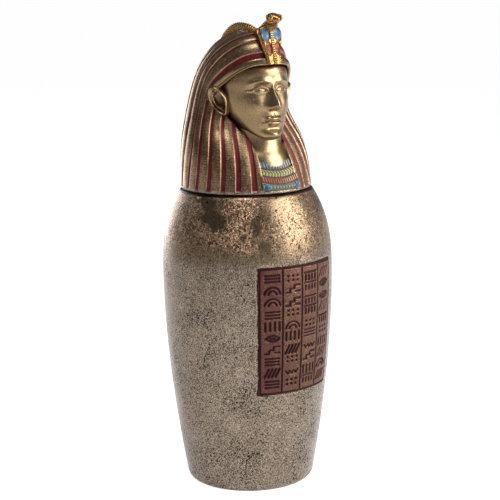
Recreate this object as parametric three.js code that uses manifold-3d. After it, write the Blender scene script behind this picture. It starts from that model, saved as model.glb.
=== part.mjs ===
// A souvenir canopic jar of cold-cast bronze resin: a hollow shouldered vessel with a framed
// inscription panel, and a loose lid in the shape of a head in a striped royal headcloth.
// Millimetres, +Z up, the jar's front towards -Y, origin at the centre of the underside.

import * as THREE from 'three';
import { ParametricGeometry } from 'three/addons/geometries/ParametricGeometry.js';
import { mergeGeometries, mergeVertices } from 'three/addons/utils/BufferGeometryUtils.js';
import Module from 'manifold-3d';

// ---- the jar ----
const JAR_HEIGHT = 148;          // underside to rim
const BELLY_HEIGHT = 106.5;      // height of the widest place
const BELLY_RADIUS = 42.5;
const FOOT_TAPER = 10.8;         // radius lost from the belly down to the foot
const FOOT_POWER = 1.85;
const SHOULDER_TAPER = 9.7;      // radius lost from the belly up to the rim
const SHOULDER_POWER = 2.7;
const FOOT_EDGE = { width: 2.4, height: 4 };   // rounding where the wall meets the underside
const WALL = 4.5;
const FLOOR = 6;
const MOUTH_RADIUS = 27.5;
const MOUTH_DEPTH = 8;           // height of the straight mouth under the rim
const MOUTH_SPLAY = 5;           // height over which the inside widens below the mouth
const FLOOR_FILLET = 3;
const INSIDE_RINGS = [115, 70, 20];            // heights of the rings of the inner wall
const WALL_RINGS = 11;
const RING_CROWDING = 1.4;       // above 1, the outer rings crowd towards the shoulder
const JAR_SIDES = 48;

// ---- the inscription panel ----
const PANEL = { bottom: 51.7, top: 115, halfAngle: 31.4, proud: 0.5, root: 2 };
const PANEL_COLUMNS = 4;
const COLUMN_PITCH = 14.7;       // degrees from one column's middle to the next
const PANEL_ROWS = 6;
const FRAME_LINE = 0.9;          // width of the lines engraved round and between the columns
const FRAME_INSET = 1.1;         // from the plate's edge to the middle of the line round it
const FRAME_CLEARANCE = 0.9;     // plain border between that line and the rows of strokes
const LINE_DEPTH = 0.75;
const CUT_OVER = 1;              // how far a cutting block stands above the plate
const STROKE = { long: 6.4, short: 5, width: 1.3, lean: 28, pairGap: 4, underGap: 2.6, underShare: 0.6 };
const BLOCK_STEP = { across: 6.5, up: 16 };    // longest flat facet of a block bent round the wall

// ---- the lid ----
const LID_LEVEL = 148.8;         // height of the lid's own zero, just above the seam
const LID_TURN = -4;             // degrees that the head is turned on the jar
const SEAT_GAP = 0.3;            // between the lid's underside and the jar's rim
const LID_BOTTOM = JAR_HEIGHT + SEAT_GAP - LID_LEVEL;
const RIM_CHAMFER = 0.8;
const PLUG = { radius: 26.8, depth: 5 };

// Sections of the headcloth, from the rim to the crown: the half width across X, the reach to
// the front and to the back of the section's own centre line, and where that line lies in Y.
const CLOTH_SECTIONS = [
  { z: 0, half: 32.4, front: 32.4, back: 32.4, centre: 0 },
  { z: 8, half: 32.4, front: 29.5, back: 32.4, centre: 0 },
  { z: 16, half: 32.2, front: 25.6, back: 32.4, centre: 0 },
  { z: 24.5, half: 30.9, front: 20.5, back: 31.3, centre: 1 },
  { z: 31, half: 28.9, front: 17.5, back: 29, centre: 3 },
  { z: 38, half: 26.6, front: 17, back: 26.2, centre: 5 },
  { z: 46, half: 24.6, front: 21.5, back: 22.8, centre: 6.5 },
  { z: 52, half: 23.2, front: 27, back: 21.3, centre: 6 },
  { z: 58, half: 21.4, front: 28.8, back: 20.4, centre: 4 },
  { z: 64, half: 18.6, front: 25.9, back: 18.8, centre: 1.5 },
  { z: 69, half: 15.3, front: 20.8, back: 16.8, centre: -1 },
  { z: 73, half: 10.9, front: 14.4, back: 12.8, centre: -3 },
  { z: 75.5, half: 6.3, front: 7.7, back: 7.2, centre: -3.8 },
  { z: 76.7, half: 0, front: 0, back: 0, centre: -4 },
];

// Sections of the head, from the chin to where the cloth hides it.
const HEAD_SECTIONS = [
  { z: 24, half: 0, front: 0, back: 0, centre: -20.5 },
  { z: 25, half: 4.6, front: 4.2, back: 5, centre: -20 },
  { z: 27, half: 7.8, front: 7.2, back: 8, centre: -17.8 },
  { z: 30, half: 10.8, front: 10.2, back: 9, centre: -14.4 },
  { z: 34, half: 13.4, front: 13.6, back: 10, centre: -11 },
  { z: 38, half: 15.4, front: 16, back: 11, centre: -8.6 },
  { z: 43, half: 17, front: 18, back: 12, centre: -6.4 },
  { z: 48, half: 17.6, front: 18.8, back: 13, centre: -5.2 },
  { z: 53, half: 17.6, front: 19.4, back: 13, centre: -5 },
  { z: 58, half: 16.6, front: 19.4, back: 12, centre: -4.8 },
  { z: 62, half: 13.6, front: 16.4, back: 10, centre: -4.4 },
  { z: 65, half: 7.5, front: 10, back: 6, centre: -4 },
  { z: 66, half: 0, front: 0, back: 0, centre: -4 },
];
// Where the features sit on it, by the old canon: eyes half way up, nose and mouth in thirds below.
const FACE = { brow: 53, eye: 48.4, eyeX: 5.9, noseTip: 41.2, noseBase: 38.4, mouth: 34, chin: 27.2 };

// ---- the headcloth's stripes, counted in degrees round the rim from the lid's front ----
const STRIPE = { first: 26.5, pitch: 13.95, floor: 4.1, edge: 0.6, depth: 0.7, count: 12 };
const LAPPET_EDGE = 17.5;        // where the lappet's inner edge meets the rim
const EAR_LINE = 79.3;           // where the cloth passes behind the ear
const STRIPE_DRIFT = 12;         // degrees that stripes lean forward over DRIFT_HEIGHT
const DRIFT_HEIGHT = 31;
const EAR_LEVEL = 44;            // height where stripes start to sweep forward over the head
const CROWN_SPREAD = 0.62;       // below 1, opens out the first stripes above the frontlet
const CROWN_SPREAD_END = 0.35;   // share of the way up at which they are fully opened out
const CROWN_EASE = 1.6;          // crowds the rows of the cloth towards the crown
const BACK_REACH = 0.97;         // share of a quarter turn that the back of the head bends through
const CLOTH_FOCUS = new THREE.Vector3(0, -2, 45);   // stripes over the crown are sunk towards it
const CLOTH_RETURN = 5;          // depth of the cloth's edge beside the neck and face
// The lappet's inner edge: height of the cloth's end against the stripe angle.
const LAPPET_TOP = [[17.5, 1], [20, 16.5], [26.3, 24.8], [33.4, 29.2], [48.7, 35.8], [62, 39.5], [79.3, 44]];
// The frontlet: the upper edge of the gold band, from behind the ear to the middle of the forehead.
const FRONTLET_EDGE = [
  [-1.8, 44], [-2.4, 47], [-5.2, 50.8], [-10, 54.8], [-15, 58.6], [-20, 61.9], [-25.1, 63.4],
];
// Where the stripes end along the middle of the crown, from the forehead to behind the hood.
const CROWN_LINE = [
  [-25.1, 63.4], [-23.2, 65.9], [-19.1, 70.1], [-15.6, 72.9], [-10, 75.5], [-4, 76.7], [3, 76.1],
];
const BAND = { height: 3.2, lap: 0.5, proud: 0.8, depth: 3 };

// ---- neck, collar and ears ----
const COLLAR = { slope: 0.66, radius: 34.3, half: 10.2, rows: [1.4, 4.1, 7, 10.5, 14], dip: 1.4, dipHalf: 9 };
const COLLAR_GROOVE = { depth: 0.45, half: 0.4 };
const NECK_PROFILE = [[0, 6], [15, 6], [14.4, 12], [12.6, 15.5], [11, 19], [10.4, 24], [10.8, 32], [0, 32]];
const NECK_CENTRE = -11.2;
const EAR = { x: 18.9, y: -6.75, z: 43.6, height: 16.5, width: 8.8, depth: 4.8 };
const EAR_TURN = { tilt: -26, splay: 9, flare: -28 };   // degrees about X, Y and Z

// ---- the cobra ----
const HOOD = { width: 12.8, top: 78.8, bottom: 60.8, thick: 3.4, topY: -21.2, bottomY: -25.6 };
const COBRA_HEAD = { y: -25.2, z: 81.7, length: 9.8, width: 6.8, height: 6.2 };
const SNAKE_PATH = [
  [-19.8, 78], [-16, 75.6], [-10.5, 74.8], [-4, 76.8], [3, 77.5],
  [9, 76.4], [14.4, 73.2], [18.2, 68.6], [18.6, 64],
];
const SNAKE_RADIUS = 2.4;

const wasm = await Module();
wasm.setup();

// ---------------------------------------------------------------- solids

// A closed three.js geometry as a solid that can be joined and cut.
function toSolid(geometry) {
  const bare = geometry.clone();
  bare.deleteAttribute('normal');
  bare.deleteAttribute('uv');
  const welded = mergeVertices(bare, 1e-4);
  const corners = Array.from(welded.index.array);
  const kept = [];
  for (let i = 0; i < corners.length; i += 3) {
    const [a, b, c] = corners.slice(i, i + 3);
    if (a !== b && b !== c && c !== a) kept.push(a, b, c);
  }
  const vertProperties = new Float32Array(welded.attributes.position.array);
  return new wasm.Manifold(new wasm.Mesh({ numProp: 3, vertProperties, triVerts: new Uint32Array(kept) }));
}

function toGeometry(solid) {
  const mesh = solid.getMesh();
  const geometry = new THREE.BufferGeometry();
  geometry.setAttribute('position', new THREE.BufferAttribute(new Float32Array(mesh.vertProperties), 3));
  geometry.setIndex(new THREE.BufferAttribute(new Uint32Array(mesh.triVerts), 1));
  geometry.computeVertexNormals();
  return geometry;
}

// Every vertex of a geometry moved by a function, which is how the round forms are sculpted.
function sculpt(geometry, move) {
  const places = geometry.attributes.position;
  const point = new THREE.Vector3();
  for (let i = 0; i < places.count; i += 1) {
    point.fromBufferAttribute(places, i);
    move(point);
    places.setXYZ(i, point.x, point.y, point.z);
  }
  return geometry;
}

// ---------------------------------------------------------------- curves

const degrees = THREE.MathUtils.degToRad;

function smooth(low, high, x) {
  return THREE.MathUtils.smoothstep(x, low, high);
}

function hump(x, centre, width) {
  return Math.exp(-(((x - centre) / width) ** 2));
}

// A smooth curve through stations (x, y), read at any x between them.
function through(stations) {
  const slope = stations.map((_, i) => {
    const before = stations[Math.max(i - 1, 0)];
    const after = stations[Math.min(i + 1, stations.length - 1)];
    return (after[1] - before[1]) / (after[0] - before[0]);
  });
  return (x) => {
    const last = stations.length - 2;
    let i = 0;
    while (i < last && x > stations[i + 1][0]) i += 1;
    const [x0, y0] = stations[i];
    const [x1, y1] = stations[i + 1];
    const span = x1 - x0;
    const t = THREE.MathUtils.clamp((x - x0) / span, 0, 1);
    const rise = (2 * t ** 3 - 3 * t ** 2 + 1) * y0 + (3 * t ** 2 - 2 * t ** 3) * y1;
    return rise + span * ((t ** 3 - 2 * t ** 2 + t) * slope[i] + (t ** 3 - t ** 2) * slope[i + 1]);
  };
}

// Sections stacked in Z. The radii are blended as squares, so a form closes in a round crown.
function loft(sections) {
  const radius = (key) => {
    const squared = through(sections.map((s) => [s.z, s[key] ** 2]));
    return (z) => Math.sqrt(Math.max(squared(z), 0));
  };
  const centre = through(sections.map((s) => [s.z, s.centre]));
  const half = radius('half');
  const front = radius('front');
  const back = radius('back');
  return {
    low: sections[0].z,
    high: sections[sections.length - 1].z,
    half,
    centre,
    frontY: (z) => centre(z) - front(z),
    backY: (z) => centre(z) + back(z),
    // The point at an angle from the front, positive towards +X.
    at: (angle, z) => {
      const ahead = Math.cos(angle);
      const y = centre(z) - (ahead > 0 ? front(z) : back(z)) * ahead;
      return new THREE.Vector3(half(z) * Math.sin(angle), y, z);
    },
    // The point of the +X side at a place in the side view.
    beside: (y, z) => {
      const reach = y < centre(z) ? front(z) : back(z);
      const off = reach > 0 ? THREE.MathUtils.clamp((y - centre(z)) / reach, -1, 1) : 1;
      return new THREE.Vector3(half(z) * Math.sqrt(1 - off * off), y, z);
    },
  };
}

const cloth = loft(CLOTH_SECTIONS);
const head = loft(HEAD_SECTIONS);

// ---------------------------------------------------------------- jar

// The wall's outer radius at a height.
function jarRadius(z) {
  if (z > BELLY_HEIGHT) {
    const up = (z - BELLY_HEIGHT) / (JAR_HEIGHT - BELLY_HEIGHT);
    return BELLY_RADIUS - SHOULDER_TAPER * up ** SHOULDER_POWER;
  }
  const down = (BELLY_HEIGHT - z) / BELLY_HEIGHT;
  return BELLY_RADIUS - FOOT_TAPER * down ** FOOT_POWER;
}

function jarBody() {
  const profile = [new THREE.Vector2(0, 0)];
  const edgeSteps = 3;
  for (let i = 0; i <= edgeSteps; i += 1) {
    const turn = (i / edgeSteps) * (Math.PI / 2);
    const radius = jarRadius(FOOT_EDGE.height) - FOOT_EDGE.width * (1 - Math.sin(turn));
    profile.push(new THREE.Vector2(radius, FOOT_EDGE.height * (1 - Math.cos(turn))));
  }
  for (let i = 1; i <= WALL_RINGS; i += 1) {
    const share = 1 - (1 - i / WALL_RINGS) ** RING_CROWDING;
    const z = THREE.MathUtils.lerp(FOOT_EDGE.height, JAR_HEIGHT, share);
    profile.push(new THREE.Vector2(jarRadius(z), z));
  }
  const mouthFoot = JAR_HEIGHT - MOUTH_DEPTH;
  profile.push(new THREE.Vector2(MOUTH_RADIUS, JAR_HEIGHT));
  profile.push(new THREE.Vector2(MOUTH_RADIUS, mouthFoot));
  for (const z of [mouthFoot - MOUTH_SPLAY, ...INSIDE_RINGS]) {
    profile.push(new THREE.Vector2(jarRadius(z) - WALL, z));
  }
  profile.push(new THREE.Vector2(jarRadius(FLOOR) - WALL - FLOOR_FILLET, FLOOR));
  profile.push(new THREE.Vector2(0, FLOOR));
  const body = new THREE.LatheGeometry(profile, JAR_SIDES);
  return toSolid(body.rotateX(Math.PI / 2));
}

// A block laid round the wall: its middle at an angle from the front and a height, its width and
// height measured along the wall, and its two faces at depths from the wall's surface.
function wrapped(angle, z, width, height, inner, outer, tilt = 0) {
  const across = Math.ceil(width / BLOCK_STEP.across);
  const up = Math.ceil(height / BLOCK_STEP.up);
  const block = new THREE.BoxGeometry(width, 1, height, across, 1, up);
  block.rotateY(degrees(tilt));
  return toSolid(sculpt(block, (p) => {
    const level = z + p.z;
    const radius = jarRadius(level) + (p.y < 0 ? outer : inner);
    const turn = degrees(angle) + p.x / jarRadius(z);
    p.set(radius * Math.sin(turn), -radius * Math.cos(turn), level);
  }));
}

// The width along the wall of an angle at a height.
function wallWidth(angle, z) {
  return degrees(angle) * jarRadius(z);
}

function inscriptionPanel() {
  const middle = (PANEL.bottom + PANEL.top) / 2;
  const tall = PANEL.top - PANEL.bottom;
  const wide = wallWidth(2 * PANEL.halfAngle, middle);
  return wrapped(0, middle, wide, tall, -PANEL.root, PANEL.proud);
}

// The engraved lines: between the columns and round the plate's edge.
function frameCuts(cutLine) {
  const middle = (PANEL.bottom + PANEL.top) / 2;
  const tall = PANEL.top - PANEL.bottom - 2 * FRAME_INSET;
  const side = PANEL.halfAngle - THREE.MathUtils.radToDeg(FRAME_INSET / jarRadius(middle));
  const cuts = [-side, -COLUMN_PITCH, 0, COLUMN_PITCH, side].map((angle) => {
    return cutLine(angle, middle, FRAME_LINE, tall);
  });
  for (const z of [middle - tall / 2, middle + tall / 2]) {
    cuts.push(cutLine(0, z, wallWidth(2 * side, z) + FRAME_LINE, FRAME_LINE));
  }
  return cuts;
}

// Rows of plain strokes in place of writing: long, paired upright, stepped and leaning ones.
function strokeCuts(cutLine) {
  const cuts = [];
  const border = FRAME_INSET + FRAME_CLEARANCE;
  const tall = PANEL.top - PANEL.bottom - 2 * border;
  const cell = tall / PANEL_ROWS;
  for (let column = 0; column < PANEL_COLUMNS; column += 1) {
    for (let row = 0; row < PANEL_ROWS; row += 1) {
      const angle = (column + 0.5 - PANEL_COLUMNS / 2) * COLUMN_PITCH;
      const z = PANEL.bottom + border + (row + 0.5) * cell;
      const kind = (row * 2 + column * 3) % 4;
      if (kind === 1) {
        cuts.push(cutLine(angle, z, STROKE.width, STROKE.short));
        cuts.push(cutLine(angle + STROKE.pairGap, z, STROKE.width, STROKE.short));
      } else {
        cuts.push(cutLine(angle, z, STROKE.long, STROKE.width, kind === 3 ? STROKE.lean : 0));
      }
      if (kind === 2) {
        cuts.push(cutLine(angle, z - STROKE.underGap, STROKE.long * STROKE.underShare, STROKE.width));
      }
    }
  }
  return cuts;
}

function inscriptionCuts() {
  const cutLine = (angle, z, width, height, tilt) => {
    return wrapped(angle, z, width, height, PANEL.proud - LINE_DEPTH, PANEL.proud + CUT_OVER, tilt);
  };
  return [...frameCuts(cutLine), ...strokeCuts(cutLine)];
}

function makeJar() {
  const raised = jarBody().add(inscriptionPanel());
  return inscriptionCuts().reduce((jar, cut) => jar.subtract(cut), raised);
}

// ---------------------------------------------------------------- headcloth

// The stripe angles where the cloth's grid has a column: the feet and tops of every stripe's edges.
function clothColumns() {
  const columns = [LAPPET_EDGE, 20, EAR_LINE, 180];
  for (let i = 0; i < STRIPE.count; i += 1) {
    const middle = STRIPE.first + i * STRIPE.pitch;
    const foot = STRIPE.floor / 2;
    for (const off of [-foot - STRIPE.edge, -foot, foot, foot + STRIPE.edge]) {
      if (middle + off < 180) columns.push(middle + off);
    }
  }
  return columns.sort((a, b) => a - b);
}

// How deep the cloth is sunk at a stripe angle: full depth on a stripe's floor.
function stripeDepth(stripe) {
  const nearest = Math.round((stripe - STRIPE.first) / STRIPE.pitch);
  const middle = STRIPE.first + Math.max(nearest, 0) * STRIPE.pitch;
  const off = Math.abs(stripe - middle) - STRIPE.floor / 2;
  return STRIPE.depth * (1 - THREE.MathUtils.clamp(off / STRIPE.edge, 0, 1));
}

// The real angle of a stripe at a height: stripes lean forward as the cloth draws in.
function stripeAngle(stripe, z) {
  const lean = STRIPE_DRIFT * Math.sqrt(Math.sin(degrees(stripe))) * Math.max(z, 0) / DRIFT_HEIGHT;
  return degrees(stripe - lean);
}

const lappetTop = through(LAPPET_TOP);

function curveAt(stations) {
  const curve = new THREE.SplineCurve(stations.map(([y, z]) => new THREE.Vector2(y, z)));
  return (t) => curve.getPoint(THREE.MathUtils.clamp(t, 0, 1));
}

const frontletEdge = curveAt(FRONTLET_EDGE);
const crownLine = curveAt(CROWN_LINE);

// The back of the head in the side view, from ear level up to the end of the crown line.
function backEdge(t) {
  const [endY, endZ] = CROWN_LINE[CROWN_LINE.length - 1];
  const quarter = BACK_REACH * Math.PI / 2;
  const z = EAR_LEVEL + (endZ - EAR_LEVEL) * Math.sin(t * quarter) / Math.sin(quarter);
  const y = t === 1 ? endY : cloth.backY(z);
  return new THREE.Vector2(y, z);
}

// A stripe above ear level: a patch between the frontlet's edge, the back of the head, the ring
// at ear level and the crown line, worked out in the side view.
function sweptStripe(stripe, t) {
  const swing = (angle) => -Math.cos(degrees(angle));
  const onRing = (swing(stripe) - swing(EAR_LINE)) / (1 - swing(EAR_LINE));
  const onCrown = onRing ** CROWN_SPREAD;
  const w = THREE.MathUtils.lerp(onRing, onCrown, smooth(0, CROWN_SPREAD_END, t));
  const ring = (share) => {
    const angle = THREE.MathUtils.radToDeg(Math.acos(-(swing(EAR_LINE) + share * (1 - swing(EAR_LINE)))));
    const place = cloth.at(stripeAngle(Math.min(angle, 180), EAR_LEVEL), EAR_LEVEL);
    return new THREE.Vector2(place.y, place.z);
  };
  const blend = (a, b, share) => a.clone().lerp(b, share);
  const across = blend(frontletEdge(t), backEdge(t), w);
  const along = blend(ring(onRing), crownLine(onCrown), t);
  const corners = blend(blend(ring(0), ring(1), w), blend(crownLine(0), crownLine(1), w), t);
  return across.add(along).sub(corners);
}

// The headcloth's surface on the +X side: stripe angle, and a height share v from 0 at the rim to
// 1 at ear level (or the lappet's edge), and on to 2 at the crown.
function clothPoint(stripe, v) {
  if (v <= 1) {
    const top = lappetTop(Math.min(stripe, EAR_LINE));
    const z = v < 0.001 ? LID_BOTTOM : THREE.MathUtils.lerp(LID_BOTTOM + RIM_CHAMFER, top, (v - 0.1) / 0.9);
    const place = cloth.at(stripeAngle(stripe, z), Math.max(z, 0));
    place.z = z;
    const inset = v < 0.001 ? RIM_CHAMFER : stripeDepth(stripe) * smooth(0.8, 2.2, z);
    return shrink(place, inset);
  }
  const flat = sweptStripe(stripe, 1 - (2 - v) ** CROWN_EASE);
  const place = cloth.beside(flat.x, flat.y);
  if (v > 1.999) place.x = 0;
  const inward = CLOTH_FOCUS.clone().sub(place).setLength(stripeDepth(stripe));
  if (v > 1.999) inward.x = 0;
  return place.add(inward);
}

// A point drawn towards the lid's axis.
function shrink(place, by) {
  const out = Math.hypot(place.x, place.y);
  place.x *= (out - by) / out;
  place.y *= (out - by) / out;
  return place;
}

const RIM_ROWS = 6;
const CROWN_ROWS = 7;

// One patch of the cloth as a grid of stripe columns and rows, on one side of the head.
function clothPatch(columns, rows, low, side) {
  const count = columns.length - 1;
  return new ParametricGeometry((u, v, target) => {
    const column = Math.round(side > 0 ? u * count : (1 - u) * count);
    const place = clothPoint(columns[column], low(Math.round(v * rows)));
    target.set(place.x * side, place.y, place.z);
  }, count, rows);
}

const rimShare = (row) => (row === 0 ? 0 : 0.1 + 0.9 * ((row - 1) / (RIM_ROWS - 1)));
const crownShare = (row) => 1 + row / CROWN_ROWS;

// The cloth's free edge beside the collar, neck and face, from the rim up to the forehead.
function freeEdge(columns) {
  const edge = [];
  for (let row = 0; row <= RIM_ROWS; row += 1) edge.push(clothPoint(columns[0], rimShare(row)));
  const front = columns.filter((stripe) => stripe <= EAR_LINE);
  for (const stripe of front.slice(1)) edge.push(clothPoint(stripe, 1));
  for (let row = 1; row <= CROWN_ROWS; row += 1) edge.push(clothPoint(EAR_LINE, crownShare(row)));
  return edge;
}

// The wall that closes the cloth behind its free edge: a return on each side and a web across.
function clothBacking(edge) {
  const last = edge.length - 1;
  const back = (place) => new THREE.Vector3(place.x, place.y + CLOTH_RETURN, place.z);
  const strip = (from, to) => new ParametricGeometry((u, v, target) => {
    const row = Math.round(v * last);
    target.copy(u < 0.5 ? from(edge[row]) : to(edge[row]));
  }, 1, last);
  const mirror = (place) => new THREE.Vector3(-place.x, place.y, place.z);
  return [
    strip(back, (p) => p),
    strip((p) => mirror(p), (p) => mirror(back(p))),
    strip((p) => mirror(back(p)), back),
  ];
}

function clothUnderside(columns, edge) {
  const rim = columns.map((stripe) => clothPoint(stripe, 0));
  const right = rim.map((p) => new THREE.Vector2(p.x, p.y));
  const left = rim.map((p) => new THREE.Vector2(-p.x, p.y)).reverse().slice(1);
  const inner = edge[0].y + CLOTH_RETURN;
  const loop = [...right, ...left, new THREE.Vector2(-edge[0].x, inner), new THREE.Vector2(edge[0].x, inner)];
  const face = new THREE.ShapeGeometry(new THREE.Shape(loop));
  face.index.array.reverse();
  return face.translate(0, 0, LID_BOTTOM);
}

function headcloth() {
  const columns = clothColumns();
  const upper = columns.filter((stripe) => stripe >= EAR_LINE);
  const edge = freeEdge(columns);
  const pieces = [...clothBacking(edge), clothUnderside(columns, edge)];
  for (const side of [1, -1]) {
    pieces.push(clothPatch(columns, RIM_ROWS, rimShare, side));
    pieces.push(clothPatch(upper, CROWN_ROWS, crownShare, side));
  }
  for (const piece of pieces) {
    piece.deleteAttribute('normal');
    piece.deleteAttribute('uv');
  }
  return toSolid(mergeGeometries(pieces));
}

// ---------------------------------------------------------------- head, neck and collar

// How far a feature stands forward of the plain head at a place across and up the face.
function faceRelief(x, z) {
  const aside = Math.abs(x);
  const noseRise = (1 - smooth(FACE.noseTip, FACE.brow, z)) * smooth(FACE.noseBase, FACE.noseTip, z);
  const noseWidth = 2.7 - 1.3 * smooth(FACE.noseTip, FACE.eye, z);
  const nose = 5.2 * noseRise * hump(x, 0, noseWidth) + 1.4 * hump(aside, 2.7, 1.2) * hump(z, 39.8, 1.3);
  const brow = 1.1 * hump(z, FACE.brow - 0.05 * (aside - 5) ** 2, 1.3) * hump(aside, 5.5, 5);
  const socket = -1.9 * hump(aside, FACE.eyeX - 0.3, 3.6) * hump(z, FACE.eye + 0.4, 2.6);
  const eyeball = 1.4 * hump(aside, FACE.eyeX, 2.6) * hump(z, FACE.eye, 1.5);
  const lips = 1.1 * hump(z, FACE.mouth + 1.1, 0.9) + 1.2 * hump(z, FACE.mouth - 1.3, 1);
  const parting = 0.6 * hump(z, FACE.mouth, 0.5);
  const mouth = (lips - parting) * hump(x, 0, 3.9) + hump(z, FACE.mouth, 3) * hump(x, 0, 5);
  const chin = 1.5 * hump(z, FACE.chin, 2) * hump(x, 0, 3.6) - 0.8 * hump(z, 30.4, 1) * hump(x, 0, 3.6);
  const cheek = 0.8 * hump(aside, 8.5, 3.2) * hump(z, 41.5, 4);
  return nose + brow + socket + eyeball + mouth + chin + cheek;
}

function headPiece() {
  const ball = new THREE.SphereGeometry(1, 28, 17).rotateX(Math.PI / 2);
  return toSolid(sculpt(ball, (p) => {
    const share = Math.asin(THREE.MathUtils.clamp(p.z, -1, 1)) / Math.PI + 0.5;
    const eased = share - 0.09 * Math.sin(2 * Math.PI * share);
    const z = THREE.MathUtils.lerp(head.low, head.high, eased);
    const turn = Math.hypot(p.x, p.y) < 1e-6 ? 0 : Math.atan2(p.x, -p.y);
    const crowded = turn * (0.42 + 0.58 * Math.abs(turn) / Math.PI);
    const place = head.at(crowded, z);
    place.y -= faceRelief(place.x, z) * smooth(0.1, 0.6, Math.cos(crowded)) * smooth(24, 26.5, z);
    p.copy(place);
  }));
}

function neckPiece() {
  const profile = NECK_PROFILE.map(([radius, z]) => new THREE.Vector2(radius, z));
  return toSolid(new THREE.LatheGeometry(profile, 16).rotateX(Math.PI / 2).translate(0, NECK_CENTRE, 0));
}

// The collar: a cone between the lappets, its rows of beads parted by fine grooves.
function collarPiece() {
  const radius = (z) => Math.min(cloth.half(0) - 0.1, COLLAR.radius - COLLAR.slope * z);
  const profile = [[0, LID_BOTTOM], [radius(0) - RIM_CHAMFER, LID_BOTTOM]];
  profile.push([radius(0), LID_BOTTOM + RIM_CHAMFER]);
  for (const z of COLLAR.rows) {
    profile.push([radius(z), z - COLLAR_GROOVE.half], [radius(z) - COLLAR_GROOVE.depth, z]);
    profile.push([radius(z), z + COLLAR_GROOVE.half]);
  }
  profile.push([0, COLLAR.rows[COLLAR.rows.length - 1] + COLLAR_GROOVE.half]);
  const cone = new THREE.LatheGeometry(profile.map(([r, z]) => new THREE.Vector2(r, z)), 40);
  sculpt(cone.rotateX(Math.PI / 2), (p) => {
    p.z += COLLAR.dip * Math.min((p.x / COLLAR.dipHalf) ** 2, 1.4) * smooth(1, 5, p.z);
  });
  const front = new THREE.BoxGeometry(2 * COLLAR.half, 24, 40).translate(0, -24, 10);
  return toSolid(cone).intersect(toSolid(front));
}

// The gold frontlet band, laid on the head under the cloth's edge from ear to ear.
function bandPiece() {
  const strip = new THREE.BoxGeometry(2, 1, 1, 18, 1, 1);
  return toSolid(sculpt(strip, (p) => {
    const share = 1 - Math.abs(p.x);
    const edge = frontletEdge(share);
    const ahead = frontletEdge(share + 0.02).sub(frontletEdge(share - 0.02));
    const down = share === 1 ? new THREE.Vector2(0, -1) : new THREE.Vector2(ahead.y, -ahead.x).normalize();
    if (down.y > 0) down.negate();
    edge.addScaledVector(down, BAND.height * (0.5 - p.z) - BAND.lap);
    const place = cloth.beside(edge.x, edge.y);
    const out = new THREE.Vector3(place.x, place.y - 2, 0).normalize();
    place.addScaledVector(out, p.y < 0 ? BAND.proud : BAND.proud - BAND.depth);
    p.set(Math.sign(p.x) * place.x, place.y, place.z);
  }));
}

// An ear: a flattened egg with a hollowed shell, leaning back and standing off the head.
function earPiece(side) {
  const egg = new THREE.SphereGeometry(1, 10, 8);
  sculpt(egg, (p) => {
    const hollow = p.x > 0 ? 0.75 * hump(Math.hypot(p.y, p.z * 0.8), 0, 0.55) : 0;
    const lobe = 1 - 0.35 * smooth(0, 1, -p.z);
    p.set((p.x - hollow) * EAR.depth / 2, p.y * lobe * EAR.width / 2, p.z * EAR.height / 2);
  });
  egg.rotateX(degrees(EAR_TURN.tilt)).rotateY(degrees(EAR_TURN.splay)).rotateZ(degrees(EAR_TURN.flare));
  egg.translate(EAR.x, EAR.y, EAR.z);
  if (side < 0) {
    egg.scale(-1, 1, 1);
    egg.index.array.reverse();
  }
  return toSolid(egg);
}

// ---------------------------------------------------------------- cobra

function hoodPiece() {
  const tall = HOOD.top - HOOD.bottom;
  const outline = [[0.56, 0], [0.68, 0.25], [0.87, 0.5], [0.98, 0.7], [1, 0.82], [0.85, 0.93], [0.55, 1]];
  const halfWidth = (share) => (share * HOOD.width) / 2;
  const right = outline.map(([share, up]) => new THREE.Vector2(halfWidth(share), up * tall));
  const left = right.map((p) => new THREE.Vector2(-p.x, p.y)).reverse();
  const bevel = { bevelThickness: 0.7, bevelSize: 0.6, bevelOffset: -0.6, bevelSegments: 1 };
  const shape = new THREE.Shape([...right, ...left]);
  const plate = new THREE.ExtrudeGeometry(shape, { depth: HOOD.thick - 1.4, ...bevel });
  const lean = Math.atan2(HOOD.topY - HOOD.bottomY, tall);
  plate.rotateX(Math.PI / 2 - lean);
  return toSolid(plate.translate(0, HOOD.bottomY + HOOD.thick / 2, HOOD.bottom));
}

function cobraHead() {
  const skull = new THREE.SphereGeometry(1, 12, 8);
  sculpt(skull, (p) => {
    const snout = smooth(-0.2, 1, -p.y);
    const taper = 1 - 0.35 * snout;
    const flat = 1 - 0.3 * snout;
    p.x *= taper * COBRA_HEAD.width / 2;
    p.y *= COBRA_HEAD.length / 2;
    p.z *= flat * COBRA_HEAD.height / 2;
  });
  skull.translate(0, COBRA_HEAD.y, COBRA_HEAD.z);
  const neck = new THREE.CylinderGeometry(2.7, 3.6, 7, 10).rotateX(Math.PI / 2 + 0.3);
  return toSolid(skull).add(toSolid(neck.translate(0, COBRA_HEAD.y + 3.4, COBRA_HEAD.z - 3.2)));
}

function snakeBody() {
  const route = new THREE.CatmullRomCurve3(SNAKE_PATH.map(([y, z]) => new THREE.Vector3(0, y, z)));
  const round = new THREE.Shape().absarc(0, 0, SNAKE_RADIUS, 0, 2 * Math.PI);
  const rope = { steps: 12, extrudePath: route, bevelEnabled: false, curveSegments: 4 };
  return toSolid(new THREE.ExtrudeGeometry(round, rope));
}

function plugPiece() {
  const drum = new THREE.CylinderGeometry(PLUG.radius, PLUG.radius - 0.6, PLUG.depth + 3, 20);
  return toSolid(drum.rotateX(Math.PI / 2).translate(0, 0, LID_BOTTOM - PLUG.depth / 2 + 1.5));
}

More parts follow.
